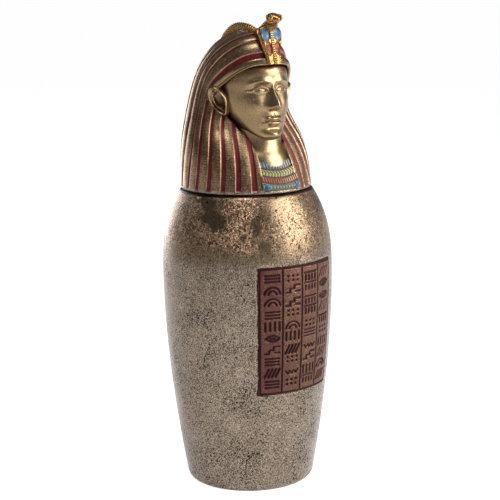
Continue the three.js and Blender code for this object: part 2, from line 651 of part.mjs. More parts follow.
function makeLid() {
  const ears = [earPiece(1), earPiece(-1)];
  const pieces = [plugPiece(), collarPiece(), neckPiece(), headPiece(), bandPiece(), ...ears];
  pieces.push(hoodPiece(), cobraHead(), snakeBody());
  return pieces.reduce((lid, part) => lid.add(part), headcloth());
}

const group = new THREE.Group();
group.name = 'canopic_jar';

function piece(name, solid, colour, roughness, metalness) {
  const material = new THREE.MeshStandardMaterial({ color: colour, roughness, metalness });
  const mesh = new THREE.Mesh(toGeometry(solid), material);
  mesh.name = name;
  group.add(mesh);
  return mesh;
}

piece('jar', makeJar(), 0xb09a70, 0.38, 0.85);
const lidMesh = piece('lid', makeLid(), 0xa68a63, 0.36, 0.85);
lidMesh.position.z = LID_LEVEL;
lidMesh.rotation.z = degrees(LID_TURN);

export default group;
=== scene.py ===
# %% [markdown]
# # A canopic jar in cold-cast bronze
# Souvenir canopic jars are cast in polyester resin loaded with bronze powder, rubbed back with wire
# wool and finished with brushed paint. The jar is hollow, and its lid is a king's head that lifts off.
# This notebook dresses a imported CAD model: it loads the model as a fixed frame, builds fine meshes in
# the same places, gives each a procedural finish, and lights them like a product on white paper.

# %% tools and the frame
import math

import bmesh
import bpy
import numpy as np
from mathutils import Matrix, Vector


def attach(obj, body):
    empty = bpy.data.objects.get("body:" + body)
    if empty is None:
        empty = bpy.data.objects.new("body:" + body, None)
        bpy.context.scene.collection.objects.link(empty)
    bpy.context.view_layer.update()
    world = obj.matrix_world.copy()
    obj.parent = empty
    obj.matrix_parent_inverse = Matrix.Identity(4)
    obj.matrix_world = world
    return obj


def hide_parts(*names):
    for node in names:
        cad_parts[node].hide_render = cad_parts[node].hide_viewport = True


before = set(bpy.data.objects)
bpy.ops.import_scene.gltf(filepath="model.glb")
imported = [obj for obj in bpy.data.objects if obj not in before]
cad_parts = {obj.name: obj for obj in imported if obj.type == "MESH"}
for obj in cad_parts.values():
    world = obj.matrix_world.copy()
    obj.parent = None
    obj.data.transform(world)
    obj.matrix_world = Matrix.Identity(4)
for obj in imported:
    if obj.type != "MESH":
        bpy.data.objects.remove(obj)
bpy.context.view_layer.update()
MM = 0.001


# %% [markdown]
# ## Sizes
# Every measure is in millimetres and is the same as in the CAD source, so that the dressed pieces
# lie on the solids they stand for. The lid has its own zero just above the seam, and is turned
# a few degrees on the jar, as a loose lid always is.

# %% the jar's sizes
JAR_HEIGHT = 148.0
BELLY_HEIGHT = 106.5
BELLY_RADIUS = 42.42
FOOT_TAPER, FOOT_POWER = 10.8, 1.85
SHOULDER_TAPER, SHOULDER_POWER = 9.7, 2.7
WALL, FLOOR = 4.5, 6.0
MOUTH_RADIUS, MOUTH_DEPTH = 27.5, 8.0
print("jar:", JAR_HEIGHT, "mm tall and", 2 * BELLY_RADIUS, "mm wide")

# %% the lid's sizes
LID_LEVEL = 148.8
LID_TURN = -4.0
LID_BOTTOM = -0.5
CLOTH_SECTIONS = [
    # height, half width, reach to the front, reach to the back, place of the centre line
    (0, 32.4, 32.4, 32.4, 0), (8, 32.4, 29.5, 32.4, 0), (16, 32.2, 25.6, 32.4, 0),
    (24.5, 30.9, 20.5, 31.3, 1), (31, 28.9, 17.5, 29, 3), (38, 26.6, 17, 26.2, 5),
    (46, 24.6, 21.5, 22.8, 6.5), (52, 23.2, 27, 21.3, 6), (58, 21.4, 28.8, 20.4, 4),
    (64, 18.6, 25.9, 18.8, 1.5), (69, 15.3, 20.8, 16.8, -1), (73, 10.9, 14.4, 12.8, -3),
    (75.5, 6.3, 7.7, 7.2, -3.8), (76.7, 0, 0, 0, -4),
]
HEAD_SECTIONS = [
    (24, 0, 0, 0, -20.5), (25, 4.6, 4.2, 5, -20), (27, 7.8, 7.2, 8, -17.8),
    (30, 10.8, 10.2, 9, -14.4), (34, 13.4, 13.6, 10, -11), (38, 15.4, 16, 11, -8.6),
    (43, 17, 18, 12, -6.4), (48, 17.6, 18.8, 13, -5.2), (53, 17.6, 19.4, 13, -5),
    (58, 16.6, 19.4, 12, -4.8), (62, 13.6, 16.4, 10, -4.4), (65, 7.5, 10, 6, -4), (66, 0, 0, 0, -4),
]
STRIPE = {"first": 26.5, "pitch": 13.95, "floor": 4.1, "edge": 0.6, "depth": 0.7, "count": 12}
LAPPET_EDGE, EAR_LINE, EAR_LEVEL = 17.5, 79.3, 44.0
STRIPE_DRIFT, DRIFT_HEIGHT = 12.0, 31.0
CLOTH_RETURN = 5.0
LAPPET_TOP = [(17.5, 1), (20, 16.5), (26.3, 24.8), (33.4, 29.2), (48.7, 35.8), (62, 39.5), (79.3, 44)]
FRONTLET_EDGE = [
    (-1.8, 44), (-2.4, 47), (-5.2, 50.8), (-10, 54.8), (-15, 58.6), (-20, 61.9), (-25.1, 63.4)
]
CROWN_LINE = [
    (-25.1, 63.4), (-23.2, 65.9), (-19.1, 70.1), (-15.6, 72.9), (-10, 75.5), (-4, 76.7), (3, 76.1)
]
print("lid:", CLOTH_SECTIONS[-1][0], "mm to the crown, with", 2 * STRIPE["count"] - 1, "stripes")

# %% [markdown]
# ## Sculpting helpers
# A fine relief starts as a plain grid, slab, sphere or spun profile, and every vertex is then moved
# by a function, which is digital sculpting with a formula for a brush. The function also returns
# marks: numbers that stay on the vertices, such as how deep a stripe is, for the finish to read.

# %% curves and brushes


def smooth(low, high, x):
    """0 below low, 1 above high, and an S-curve between."""
    t = np.clip((x - low) / (high - low), 0, 1)
    return t * t * (3 - 2 * t)


def hump(x, centre, width):
    """A soft bump, 1 at its centre."""
    return np.exp(-(((x - centre) / width) ** 2))


def hermite(y0, y1, slope0, slope1, t):
    """A curve from y0 to y1 that leaves and arrives with the given slopes."""
    rise = (2 * t**3 - 3 * t**2 + 1) * y0 + (3 * t**2 - 2 * t**3) * y1
    return rise + (t**3 - 2 * t**2 + t) * slope0 + (t**3 - t**2) * slope1


def through(stations):
    """A smooth curve through stations (x, y), read at any x between them."""
    xs, ys = np.array(stations, float).T
    slope = np.gradient(ys, xs, edge_order=1)
    slope[1:-1] = (ys[2:] - ys[:-2]) / (xs[2:] - xs[:-2])

    def curve(x):
        i = np.clip(np.searchsorted(xs, x) - 1, 0, len(xs) - 2)
        span = xs[i + 1] - xs[i]
        t = np.clip((x - xs[i]) / span, 0, 1)
        return hermite(ys[i], ys[i + 1], slope[i] * span, slope[i + 1] * span, t)

    return curve


def route(stations):
    """A smooth curve through places, read at a share t from 0 to 1 of the stations."""
    places = np.array(stations, float)
    slope = np.empty_like(places)
    slope[1:-1] = (places[2:] - places[:-2]) / 2
    slope[0] = (places[1] - places[0]) / 2
    slope[-1] = (places[-1] - places[-2]) / 2

    def curve(t):
        along = np.clip(t, 0, 1) * (len(places) - 1)
        i = np.minimum(along.astype(int), len(places) - 2)
        share = (along - i)[..., None]
        return hermite(places[i], places[i + 1], slope[i], slope[i + 1], share)

    return curve


class Loft:
    """Sections stacked in height; the radii are blended as squares, so a form closes in a round crown."""

    def __init__(self, sections):
        rows = np.array(sections, float)
        self.low, self.high = rows[0, 0], rows[-1, 0]
        squares = [through(np.column_stack([rows[:, 0], rows[:, k] ** 2])) for k in (1, 2, 3)]
        self.half, self.front, self.back = [self.root_of(curve) for curve in squares]
        self.centre = through(rows[:, [0, 4]])

    @staticmethod
    def root_of(curve):
        return lambda z: np.sqrt(np.maximum(curve(z), 0))

    def at(self, angle, z):
        """The place at an angle from the front, positive towards +X."""
        ahead = np.cos(angle)
        y = self.centre(z) - np.where(ahead > 0, self.front(z), self.back(z)) * ahead
        return np.stack([self.half(z) * np.sin(angle), y, z + 0 * y], -1)

    def beside(self, y, z):
        """The place on the +X side, from its place in the side view."""
        reach = np.where(y < self.centre(z), self.front(z), self.back(z))
        off = np.clip((y - self.centre(z)) / np.maximum(reach, 1e-6), -1, 1)
        return np.stack([self.half(z) * np.sqrt(1 - off * off), y, z], -1)


cloth = Loft(CLOTH_SECTIONS)
head = Loft(HEAD_SECTIONS)
print("head: from", head.low, "to", head.high, "mm above the lid's zero")

# %% meshes that are sculpted, marked and put in place
LID_PLACE = Matrix.Translation((0, 0, LID_LEVEL)) @ Matrix.Rotation(math.radians(LID_TURN), 4, "Z")
JAR_PLACE = Matrix.Identity(4)


def sculpt(bm, form):
    """Moves every vertex by form(x, y, z), which gives the new places and a dictionary of marks."""
    places, marks = form(*np.array([v.co[:] for v in bm.verts]).T)
    for name in marks:
        if name not in bm.verts.layers.float:
            bm.verts.layers.float.new(name)
    for vert, place in zip(bm.verts, places):
        vert.co = place
    for name, values in marks.items():
        layer = bm.verts.layers.float[name]
        for vert, value in zip(bm.verts, np.broadcast_to(values, len(places)).tolist()):
            vert[layer] = value


def grid(across, up):
    """A flat square grid from -1 to 1, counted in cells."""
    bm = bmesh.new()
    bmesh.ops.create_grid(bm, x_segments=across, y_segments=up, size=1)
    return bm


def slab(across, up):
    """The same grid with a back: its third coordinate is 0 on the face and -1 on the back."""
    bm = grid(across, up)
    bmesh.ops.solidify(bm, geom=[*bm.verts, *bm.edges, *bm.faces], thickness=1)
    return bm


def ball(around, up):
    bm = bmesh.new()
    bmesh.ops.create_uvsphere(bm, u_segments=around, v_segments=up, radius=1)
    return bm


def spun(profile, steps):
    """A profile of (radius, height) turned round Z, as a potter or a lathe would."""
    bm = bmesh.new()
    verts = [bm.verts.new((radius, 0, height)) for radius, height in profile]
    edges = [bm.edges.new(pair) for pair in zip(verts, verts[1:])]
    bmesh.ops.spin(
        bm, geom=verts + edges, cent=(0, 0, 0), axis=(0, 0, 1), angle=math.tau, steps=steps, use_merge=True
    )
    bmesh.ops.remove_doubles(bm, verts=bm.verts, dist=1e-4)
    return bm


def piece(bm, name, finish, place=LID_PLACE):
    """Closes the work on one piece: millimetres become metres and it rides on the body."""
    bmesh.ops.remove_doubles(bm, verts=bm.verts, dist=1e-4)
    bmesh.ops.recalc_face_normals(bm, faces=bm.faces)
    bm.transform(Matrix.Scale(MM, 4) @ place)
    mesh = bpy.data.meshes.new(name)
    bm.to_mesh(mesh)
    bm.free()
    mesh.polygons.foreach_set("use_smooth", [True] * len(mesh.polygons))
    made = bpy.data.objects.new(name, mesh)
    bpy.context.scene.collection.objects.link(made)
    made.data.materials.append(finish)
    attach(made, "root")
    triangles = sum(len(p.vertices) - 2 for p in mesh.polygons)
    print(f"{name}: {triangles} triangles")
    return made


# %% [markdown]
# ## Writing shaders as sums
# A finish is a short calculation: rust where it is deep, gloss where it is worn. One small class
# wraps a socket of the node tree, so that the calculation reads as arithmetic.

# %% a socket that can be added and multiplied


class Wire:
    """An output socket in a node tree. Sums on it add Math nodes; node() adds any other node."""

    def __init__(self, tree, socket=None):
        self.tree, self.socket = tree, socket

    def node(self, kind, settings=None, inputs=None, output=0):
        """Any node: its settings are set first, then its sockets get values or links."""
        made = self.tree.nodes.new("ShaderNode" + kind)
        for key, value in (settings or {}).items():
            if key == "stops":
                self.set_stops(made.color_ramp.elements, value)
            else:
                setattr(made, key, value)
        for key, value in (inputs or {}).items():
            if isinstance(value, Wire):
                self.tree.links.new(value.socket, made.inputs[key])
            else:
                made.inputs[key].default_value = value
        return Wire(self.tree, made.outputs[output])

    @staticmethod
    def set_stops(elements, stops):
        while len(elements) < len(stops):
            elements.new(0.5)
        for element, (place, value) in zip(elements, stops):
            element.position = place
            element.color = (*value, 1)

    def math(self, operation, other=0.0):
        return self.node("Math", {"operation": operation}, {0: self, 1: other})

    def __add__(self, other):
        return self.math("ADD", other)

    def __sub__(self, other):
        return self.math("SUBTRACT", other)

    def __mul__(self, other):
        return self.math("MULTIPLY", other)

    def __rsub__(self, other):
        return self.node("Math", {"operation": "SUBTRACT"}, {0: other, 1: self})

    __radd__ = __add__
    __rmul__ = __mul__

    def rise(self, low, high):
        """0 below low and 1 above high, as an S-curve. The limits may be given high to low."""
        flip = low > high
        limits = {1: min(low, high), 2: max(low, high), 3: 1.0 if flip else 0.0, 4: 0.0 if flip else 1.0}
        return self.node("MapRange", {"interpolation_type": "SMOOTHSTEP"}, {0: self, **limits})

    def between(self, low, high):
        """The colour that lies this share of the way from one colour to another."""
        low, high = [end if isinstance(end, Wire) else (*end, 1) for end in (low, high)]
        return self.node("Mix", {"data_type": "RGBA"}, {0: self, 6: low, 7: high}, output=2)

    def mixed(self, share, other):
        """This colour, with a share of another colour over it."""
        return share.between(self, other)


def colour(*screen):
    """A screen colour of 0 to 255 as the linear light that shaders use."""
    return tuple(((v / 255 + 0.055) / 1.055) ** 2.4 if v > 10 else v / 255 / 12.92 for v in screen)


print("mid grey as linear light:", round(colour(128)[0], 3))


# %% [markdown]
# ## Cold-cast bronze
# The casting is resin full of metal powder, so it shines like metal that has been sanded: a soft
# broad gloss, pale where it is rubbed, with fine pits that kept the dark wash. One function makes
# the metal, and each piece states its own tones and how heavily its surface is pitted.

# %% the bronze and what is brushed over it
CLOUDS, GRAINS, PITS, CROWDS = 90, 2100, 1350, 70  # how many there are to the metre
PAINT_SHEEN, PIT_SHADE, BUMP_DEPTH = 0.22, 0.15, 0.0002


def mark(wire, name):
    """A number that the sculpting left on the vertices."""
    return wire.node("Attribute", {"attribute_name": name, "attribute_type": "GEOMETRY"}, output=2)


def noise(wire, place, scale, detail=2.0, roughness=0.5, distortion=0.0):
    """Cloudy grain in space, with so many clouds to the metre."""
    values = {"Vector": place, "Scale": scale, "Detail": detail, "Roughness": roughness}
    return wire.node("TexNoise", inputs={**values, "Distortion": distortion})


def cast_metal(name, dark, middle, pale, pits=1.0, rough=0.3, sand=1.0, layers=None):
    """Bronze resin. dark, middle and pale are its tones; layers(...) may paint over it."""
    finish = bpy.data.materials.new(name)
    finish.use_nodes = True
    tree = finish.node_tree
    shader = tree.nodes["Principled BSDF"]
    shader.inputs["Specular IOR Level"].default_value = PAINT_SHEEN
    start = Wire(tree)
    place = start.node("TexCoord", output="Object")
    cloud = noise(start, place, CLOUDS, 3.0, 0.6)
    grain = noise(start, place, GRAINS, 1.0, 0.6)
    cells = noise(start, place, PITS, 1.0, 0.5, 0.4)
    crowd = noise(start, place, CROWDS, 2.0, 0.55)
    pit = (cells + crowd * 0.4).rise(0.93 - 0.115 * pits, 0.95 - 0.115 * pits)
    tone = (cloud * 0.1 + grain * sand + (0.45 - 0.5 * sand)).rise(0.34, 0.66)
    metal = tone.node("ValToRGB", {"stops": [(0.0, dark), (0.5, middle), (1.0, pale)]}, {0: tone})
    metal = metal.mixed(pit * min(1.0, pits), [v * PIT_SHADE for v in dark])
    state = {
        "colour": metal,
        "height": grain * (0.4 * sand) - pit,
        "metal": 1 - pit * 0.4,
        "rough": rough + tone * 0.06 + pit * 0.25,
    }
    if layers:
        state = layers(start, place, state)
    bump = start.node("Bump", inputs={"Strength": 0.5, "Distance": BUMP_DEPTH, "Height": state["height"]})
    for socket, value in (
        ("Base Color", state["colour"]), ("Roughness", state["rough"]),
        ("Metallic", state["metal"]), ("Normal", bump),
    ):
        tree.links.new(value.socket, shader.inputs[socket])
    print(f"{name}: {len(tree.nodes)} nodes")
    return finish


def painted(state, cover, tint, rough, metal):
    """Brushed paint: covers the metal where cover is 1."""
    state["colour"] = state["colour"].mixed(cover, tint)
    state["metal"] = state["metal"] * (1 - cover * (1 - metal))
    state["rough"] = state["rough"] * (1 - cover) + cover * rough
    return state


# %% [markdown]
# The lower wall keeps the plain pale bronze. The shoulder is painted a darker, yellower gold, a painted
# reflection of the dark room above. It has small holes from the mould, and a net of painted highlights that
# stand for glints on the rims of pits. The net could be painted by hand. Here it is the thin line along
# which a cloudy noise crosses its middle value. A painted shadow lies along the seam under the lid.

# %% the finishes' tones and the jar's shoulder
MAROON = colour(84, 20, 22)
GOLD_DARK, GOLD, GOLD_PALE = colour(72, 62, 53), colour(109, 97, 85), colour(160, 145, 129)
SHOULDER_SHADE_AND_HOLES_FROM, NET_FROM, SEAM_SHADOW = (0.112, 0.124), (0.117, 0.13), (0.1471, 0.1476)  # heights in metres
GLINT_LINES, GLINT_CROWDS, HOLES = 640, 34, 900


def shoulder_layers(start, place, state):
    """The shoulder is painted darker and yellower as a painted reflection, with mould holes, painted glints
    and a painted seam shadow.
    """
    height = start.node("SeparateXYZ", inputs={0: place}, output=2)
    high = height.rise(*SHOULDER_SHADE_AND_HOLES_FROM)
    glint_line = noise(start, place, GLINT_LINES, 1.0, 0.6, 1.2) - 0.5
    crowd = noise(start, place, GLINT_CROWDS, 3.0, 0.6)
    painted_highlight = glint_line.math("ABSOLUTE").rise(0.026, 0.01) * crowd.rise(0.39, 0.48) * height.rise(*NET_FROM)
    hole = noise(start, place, HOLES, 1.0, 0.5, 0.5).rise(0.62, 0.645) * high
    # painted reflection: the shoulder above 112 to 124 mm is darker, yellower gold, as where it mirrors the
    # dark room above
    gold = state["colour"].mixed(high * 0.6, colour(98, 77, 47))
    # painted highlight: a net of pale glints, standing for light caught on the rims of pits; the bump also
    # raises it
    gold = gold.mixed(painted_highlight * 0.9, colour(214, 172, 144))
    gold = gold.mixed(hole * 0.9, colour(34, 24, 18))
    seam = height.rise(*SEAM_SHADOW)
    state["colour"] = gold.mixed(seam * 0.9, colour(26, 14, 10))
    state["height"] = state["height"] + painted_highlight * 1.2 - hole * 1.5
    return state


jar_finish = cast_metal(
    "jar bronze", GOLD_DARK, GOLD, GOLD_PALE, rough=0.27, sand=0.75, layers=shoulder_layers
)

# %% [markdown]
# ## The vessel
# A tall shouldered jar, widest near the top and drawn in to the foot, with true walls and a mouth
# for the lid's plug. It could be lofted, but every potter's form is a profile turned round an
# axis, so the profile is written once and spun. The wall is drawn back where the panel covers it.

# %% the vessel's profile


def jar_radius(z):
    """The wall's radius: widest at the belly, drawn in above and below it."""
    up = np.clip((z - BELLY_HEIGHT) / (JAR_HEIGHT - BELLY_HEIGHT), 0, None)
    down = np.clip((BELLY_HEIGHT - z) / BELLY_HEIGHT, 0, None)
    return BELLY_RADIUS - SHOULDER_TAPER * up**SHOULDER_POWER - FOOT_TAPER * down**FOOT_POWER


def jar_profile():
    """Up the outside from the foot, over the lip, and down the inside to the floor."""
    foot_width, foot_height = 2.4, 4.0
    soft, lip, shoulder_drop, inside_foot = 0.35, 0.3, 5, 14
    line = [(0, 0)]
    for turn in np.linspace(0, math.pi / 2, 9):
        radius = jar_radius(foot_height) - foot_width * (1 - math.sin(turn))
        line.append((radius, foot_height * (1 - math.cos(turn))))
    line += [(jar_radius(z), z) for z in np.linspace(foot_height, JAR_HEIGHT - soft, 90)[1:]]
    line += [(jar_radius(JAR_HEIGHT) - soft, JAR_HEIGHT), (MOUTH_RADIUS + lip, JAR_HEIGHT)]
    line += [(MOUTH_RADIUS, JAR_HEIGHT - lip), (MOUTH_RADIUS, JAR_HEIGHT - MOUTH_DEPTH)]
    inside_top = JAR_HEIGHT - MOUTH_DEPTH - shoulder_drop
    line += [(jar_radius(z) - WALL, z) for z in np.linspace(inside_top, inside_foot, 26)]
    line += [(jar_radius(FLOOR + 2) - WALL - 2, FLOOR + 1.5), (jar_radius(FLOOR) - WALL - 5, FLOOR)]
    return line + [(0, FLOOR)]


PANEL = {"bottom": 51.7, "top": 115.0, "half": math.radians(31.4), "proud": 0.4}
HIDDEN_DEPTH, HIDDEN_EASE, HIDDEN_TURN = 1.0, 1.4, 0.03


def under_panel(x, y, z):
    """The wall drawn back where the panel covers it."""
    angle = np.abs(np.arctan2(x, -y))
    radius = np.hypot(x, y)
    inside = smooth(PANEL["half"], PANEL["half"] - HIDDEN_TURN, angle)
    inside *= smooth(PANEL["bottom"], PANEL["bottom"] + HIDDEN_EASE, z)
    inside *= smooth(PANEL["top"], PANEL["top"] - HIDDEN_EASE, z)
    inside *= radius > jar_radius(z) - 1
    shrink = 1 - HIDDEN_DEPTH * inside / np.maximum(radius, 1)
    return np.stack([x * shrink, y * shrink, z], -1), {}


vessel = spun(jar_profile(), 192)
sculpt(vessel, under_panel)
jar_body = piece(vessel, "jar_body", jar_finish, JAR_PLACE)
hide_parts("jar")

# %% [markdown]
# ## The inscription panel
# A thin raised plate with four columns between engraved lines. On an old jar each column holds
# a prayer. Here it holds rows of plain strokes that spell nothing: bars, ticks, steps, bows, waves
# and dots, pressed in as with a modelling tool. They could be cut out with booleans, which leave
# ragged edges. So a tool mark is a distance field: the nearer a vertex is to a stroke's middle
# line, the deeper it goes.

# %% the modelling tool's strokes
COLUMNS = 4
COLUMN_PITCH = math.radians(14.7)
GROUPS, GROUP_KINDS = 10, 9
STROKE_HALF, STROKE_VARIES = 0.4, 0.08
LINE_WIDTH, LINE_DEPTH, LINE_INSET = 0.7, 0.6, 0.75


def to_segment(x, z, ax, az, bx, bz):
    """Distance from places to the straight stroke from a to b."""
    dx, dz = bx - ax, bz - az
    t = np.clip(((x - ax) * dx + (z - az) * dz) / (dx * dx + dz * dz), 0, 1)
    return np.hypot(x - ax - t * dx, z - az - t * dz)


def to_bow(x, z, cx, cz, wide, high, start, sweep):
    """Distance to an arc of an ellipse, drawn as short straight strokes."""
    turns = np.radians(np.linspace(start, start + sweep, 9))
    knots = [(cx + wide * math.cos(t), cz + high * math.sin(t)) for t in turns]
    return np.min([to_segment(x, z, *a, *b) for a, b in zip(knots, knots[1:])], axis=0)


def stroke_group(kind, x, z):
    """One group of strokes round (0, 0), about 7 mm wide and 4 mm tall: its distance field."""

    def line(*ends):
        return to_segment(x, z, *ends)

    if kind == 0:  # three bars
        away = [line(-3, h, 3, h) for h in (-1.4, 0, 1.4)]
    elif kind == 1:  # four ticks
        away = [line(w, -1.8, w, 1.8) for w in (-3, -1, 1, 3)]
    elif kind == 2:  # a wave
        away = [line(-3 + k, 0.7 * (-1) ** k, -2 + k, -0.7 * (-1) ** k) for k in range(6)]
    elif kind == 3:  # a leaf
        away = [to_bow(x, z, 0, -1.6, 3.3, 2.9, 28, 124), to_bow(x, z, 0, 1.6, 3.3, 2.9, 208, 124)]
        away.append(line(-0.9, 0, 0.9, 0))
    elif kind == 4:  # slanted ticks
        away = [line(w - 0.9, -1.8, w + 0.9, 1.8) for w in (-2.4, -0.8, 0.8, 2.4)]
    elif kind == 5:  # a comb
        away = [line(w, 0.3, w, -1.7) for w in (-2.7, -0.9, 0.9, 2.7)] + [line(-3.2, 1.5, 3.2, 1.5)]
    elif kind == 6:  # steps over a dash
        steps = [(-3.2, -1.6), (-1.4, -1.6), (-1.4, 0), (0.6, 0), (0.6, 1.5), (3.2, 1.5)]
        away = [line(*a, *b) for a, b in zip(steps, steps[1:])] + [line(1.2, -1.3, 3.2, -1.3)]
    elif kind == 7:  # six dots
        away = [np.hypot(x - w, z - h) - 0.15 for w in (-2.2, 0, 2.2) for h in (-1.0, 1.0)]
    else:  # a bow in a bow
        away = [to_bow(x, z, 0, -1.5, reach, reach, 8, 164) for reach in (3.3, 1.7)]
    return np.min(away, axis=0)


def strokes(angle, z):
    """How deep the tool went at each place: 1 on a stroke's floor."""
    deep = np.zeros_like(z)
    margin = 2.5
    pitch = (PANEL["top"] - PANEL["bottom"] - 2 * margin) / GROUPS
    for column in range(COLUMNS):
        middle = (column + 0.5 - COLUMNS / 2) * COLUMN_PITCH
        x = (angle - middle) * BELLY_RADIUS
        for row in range(GROUPS):
            kind = (row * 4 + column * 7 + (row * row + column) // 3) % GROUP_KINDS
            height = PANEL["bottom"] + margin + (row + 0.5) * pitch + 0.5 * math.sin(3.1 * row + column)
            near = (np.abs(x) < 5) & (np.abs(z - height) < 3.4)
            away = stroke_group(kind, x[near] * 0.84, (z[near] - height) * 0.92)
            width = STROKE_HALF + STROKE_VARIES * math.sin(1.7 * row + 2.3 * column)
            deep[near] = np.maximum(deep[near], smooth(width + 0.22, width - 0.2, away))
    return deep


def frame_lines(angle, z):
    """The engraved lines between the columns, and the one that runs round the plate's edge."""
    between = np.minimum.reduce([np.abs(angle - k * COLUMN_PITCH) for k in (-1, 0, 1)]) * BELLY_RADIUS
    aside = (PANEL["half"] - np.abs(angle)) * BELLY_RADIUS
    round_edge = np.minimum(aside, np.minimum(z - PANEL["bottom"], PANEL["top"] - z)) - LINE_INSET
    return smooth(LINE_WIDTH / 2 + 0.25, LINE_WIDTH / 2 - 0.2, np.minimum(between, np.abs(round_edge)))


print("panel:", COLUMNS, "columns of", GROUPS, "stroke groups")

# %% the plate, bent round the jar and engraved
SUNK = 0.8  # how far the plate's back lies inside the wall


def plate(u, v, w):
    """The plate's left edge is a little ragged, as the casting's is."""
    z = PANEL["bottom"] + (v + 1) / 2 * (PANEL["top"] - PANEL["bottom"])
    angle = u * PANEL["half"]
    ragged = 0.3 * np.sin(z * 0.55) * np.sin(z * 0.21 + 1) + 0.14 * np.sin(z * 1.5 + 2 * np.sin(z * 0.4))
    ragged -= 0.7 * hump(z, 53, 3.5)
    angle = angle + np.where(u < -0.97, ragged / BELLY_RADIUS, 0)
    deep = np.maximum(strokes(angle, z), frame_lines(angle, z))
    half_tall = (PANEL["top"] - PANEL["bottom"]) / 2
    edge = np.minimum((1 - np.abs(u)) * PANEL["half"] * BELLY_RADIUS, (1 - np.abs(v)) * half_tall)
    worn = 0.05 * np.sin(angle * 61 + 2 * np.sin(z * 0.31)) * np.sin(z * 0.43 + angle * 17)
    proud = (PANEL["proud"] + worn) * smooth(-0.5, 0.3, edge) - LINE_DEPTH * deep
    radius = jar_radius(z) + np.where(w < -0.5, -SUNK, proud)
    places = np.stack([radius * np.sin(angle), -radius * np.cos(angle), z], -1)
    # painted shade: the last mark grows towards the plate's left edge, away from the key light, to darken
    # the wash there
    return places, {"cut": deep, "edge": smooth(0.7, 0.1, edge), "dim": smooth(-0.3, -0.75, u)}


def panel_layers(start, place, state):
    """A maroon-brown wash, rubbed back in clouds and dark in the engraving, and painted shade that darkens
    the plate towards its left side.
    """
    cut, edge, dim = mark(start, "cut"), mark(start, "edge"), mark(start, "dim")
    rub = noise(start, place, 130, 3.0, 0.65)
    fine = noise(start, place, 900, 2.0, 0.6)
    wash = (rub * 0.8 + fine * 0.35).rise(0.72, 0.46)
    # painted shade: the wash lies heavier towards the plate's left side
    state = painted(state, wash * 0.5 + dim * 0.3 + 0.2, colour(76, 42, 42), 0.45, 0.7)
    return painted(state, (cut + edge * 0.7).rise(0.05, 0.45) * 0.95, colour(40, 13, 14), 0.6, 0.8)


panel_finish = cast_metal(
    "panel wash", colour(54, 38, 34), colour(86, 64, 52), colour(118, 98, 66),
    pits=0.6, rough=0.42, layers=panel_layers
)
tablet = slab(180, 240)
sculpt(tablet, plate)
piece(tablet, "inscription_panel", panel_finish, JAR_PLACE)

# %% [markdown]
# ## The striped headcloth
# The royal headcloth is a kerchief pleated into stripes that hang straight from the ears down
# and sweep forward over the crown. It could be a shell with the stripes cut by booleans. Here the
# grid's columns follow the stripes, so that a stripe's edge is always an edge of the mesh: the
# angle of the stripe is counted round the rim, and the height share runs from 0 at the rim to
# 1 at ear level and 2 on the crown.

# %% where a place on the cloth lies
frontlet_edge, crown_line = route(FRONTLET_EDGE), route(CROWN_LINE)
lappet_top = through(LAPPET_TOP)
CROWN_SPREAD, CROWN_SPREAD_END = 0.62, 0.35  # under 1, the front stripes take more of the crown
CROWN_EASE, BACK_REACH = 1.6, 0.97
FIRST_ROW, LAST_ROW = 0.02, 2.0
print("frontlet's top at", FRONTLET_EDGE[-1], "and crown's end at", CROWN_LINE[-1])


def stripe_share(stripe):
    """1 on the sunk floor of a stripe, 0 on the raised gold band."""
    nearest = np.maximum(np.round((stripe - STRIPE["first"]) / STRIPE["pitch"]), 0)
    off = np.abs(stripe - STRIPE["first"] - nearest * STRIPE["pitch"]) - STRIPE["floor"] / 2
    return 1 - np.clip(off / STRIPE["edge"], 0, 1)


def stripe_angle(stripe, z):
    """Where a stripe stands at a height: the side stripes drift forward as they rise."""
    drift = STRIPE_DRIFT * np.sqrt(np.maximum(np.sin(np.radians(stripe)), 0))
    return np.radians(stripe - drift * np.maximum(z, 0) / DRIFT_HEIGHT)


def stripe_wave(stripe):
    """1 in the middle of a stripe and -1 half way to the next."""
    return np.cos(np.radians((stripe - STRIPE["first"]) / STRIPE["pitch"] * 360))


def back_edge(t):
    """The back's middle line in the side view, from ear level to the crown's end."""
    end_y, end_z = CROWN_LINE[-1]
    reach = BACK_REACH * math.pi / 2
    z = EAR_LEVEL + (end_z - EAR_LEVEL) * np.sin(t * reach) / math.sin(reach)
    return np.stack([np.where(t >= 1, end_y, cloth.centre(z) + cloth.back(z)), z], -1)


def swept(stripe, t):
    """A stripe above ear level, in the side view: a patch between four drawn edges."""
    ear = -math.cos(math.radians(EAR_LINE))
    round_rim = np.clip((-np.cos(np.radians(stripe)) - ear) / (1 - ear), 0, 1)
    on_crown = round_rim**CROWN_SPREAD
    w = (round_rim + (on_crown - round_rim) * smooth(0, CROWN_SPREAD_END, t))[..., None]

    def ring(share):
        angle = np.degrees(np.arccos(np.clip(-(ear + share * (1 - ear)), -1, 1)))
        return cloth.at(stripe_angle(np.minimum(angle, 180), EAR_LEVEL), EAR_LEVEL)[..., 1:]

    zero, one = np.zeros_like(t), np.ones_like(t)
    across = frontlet_edge(t) * (1 - w) + back_edge(t) * w
    along = ring(round_rim) * (1 - t[..., None]) + crown_line(on_crown) * t[..., None]
    low = ring(zero) * (1 - w) + ring(one) * w
    high = crown_line(zero) * (1 - w) + crown_line(one) * w
    return across + along - low * (1 - t[..., None]) - high * t[..., None]


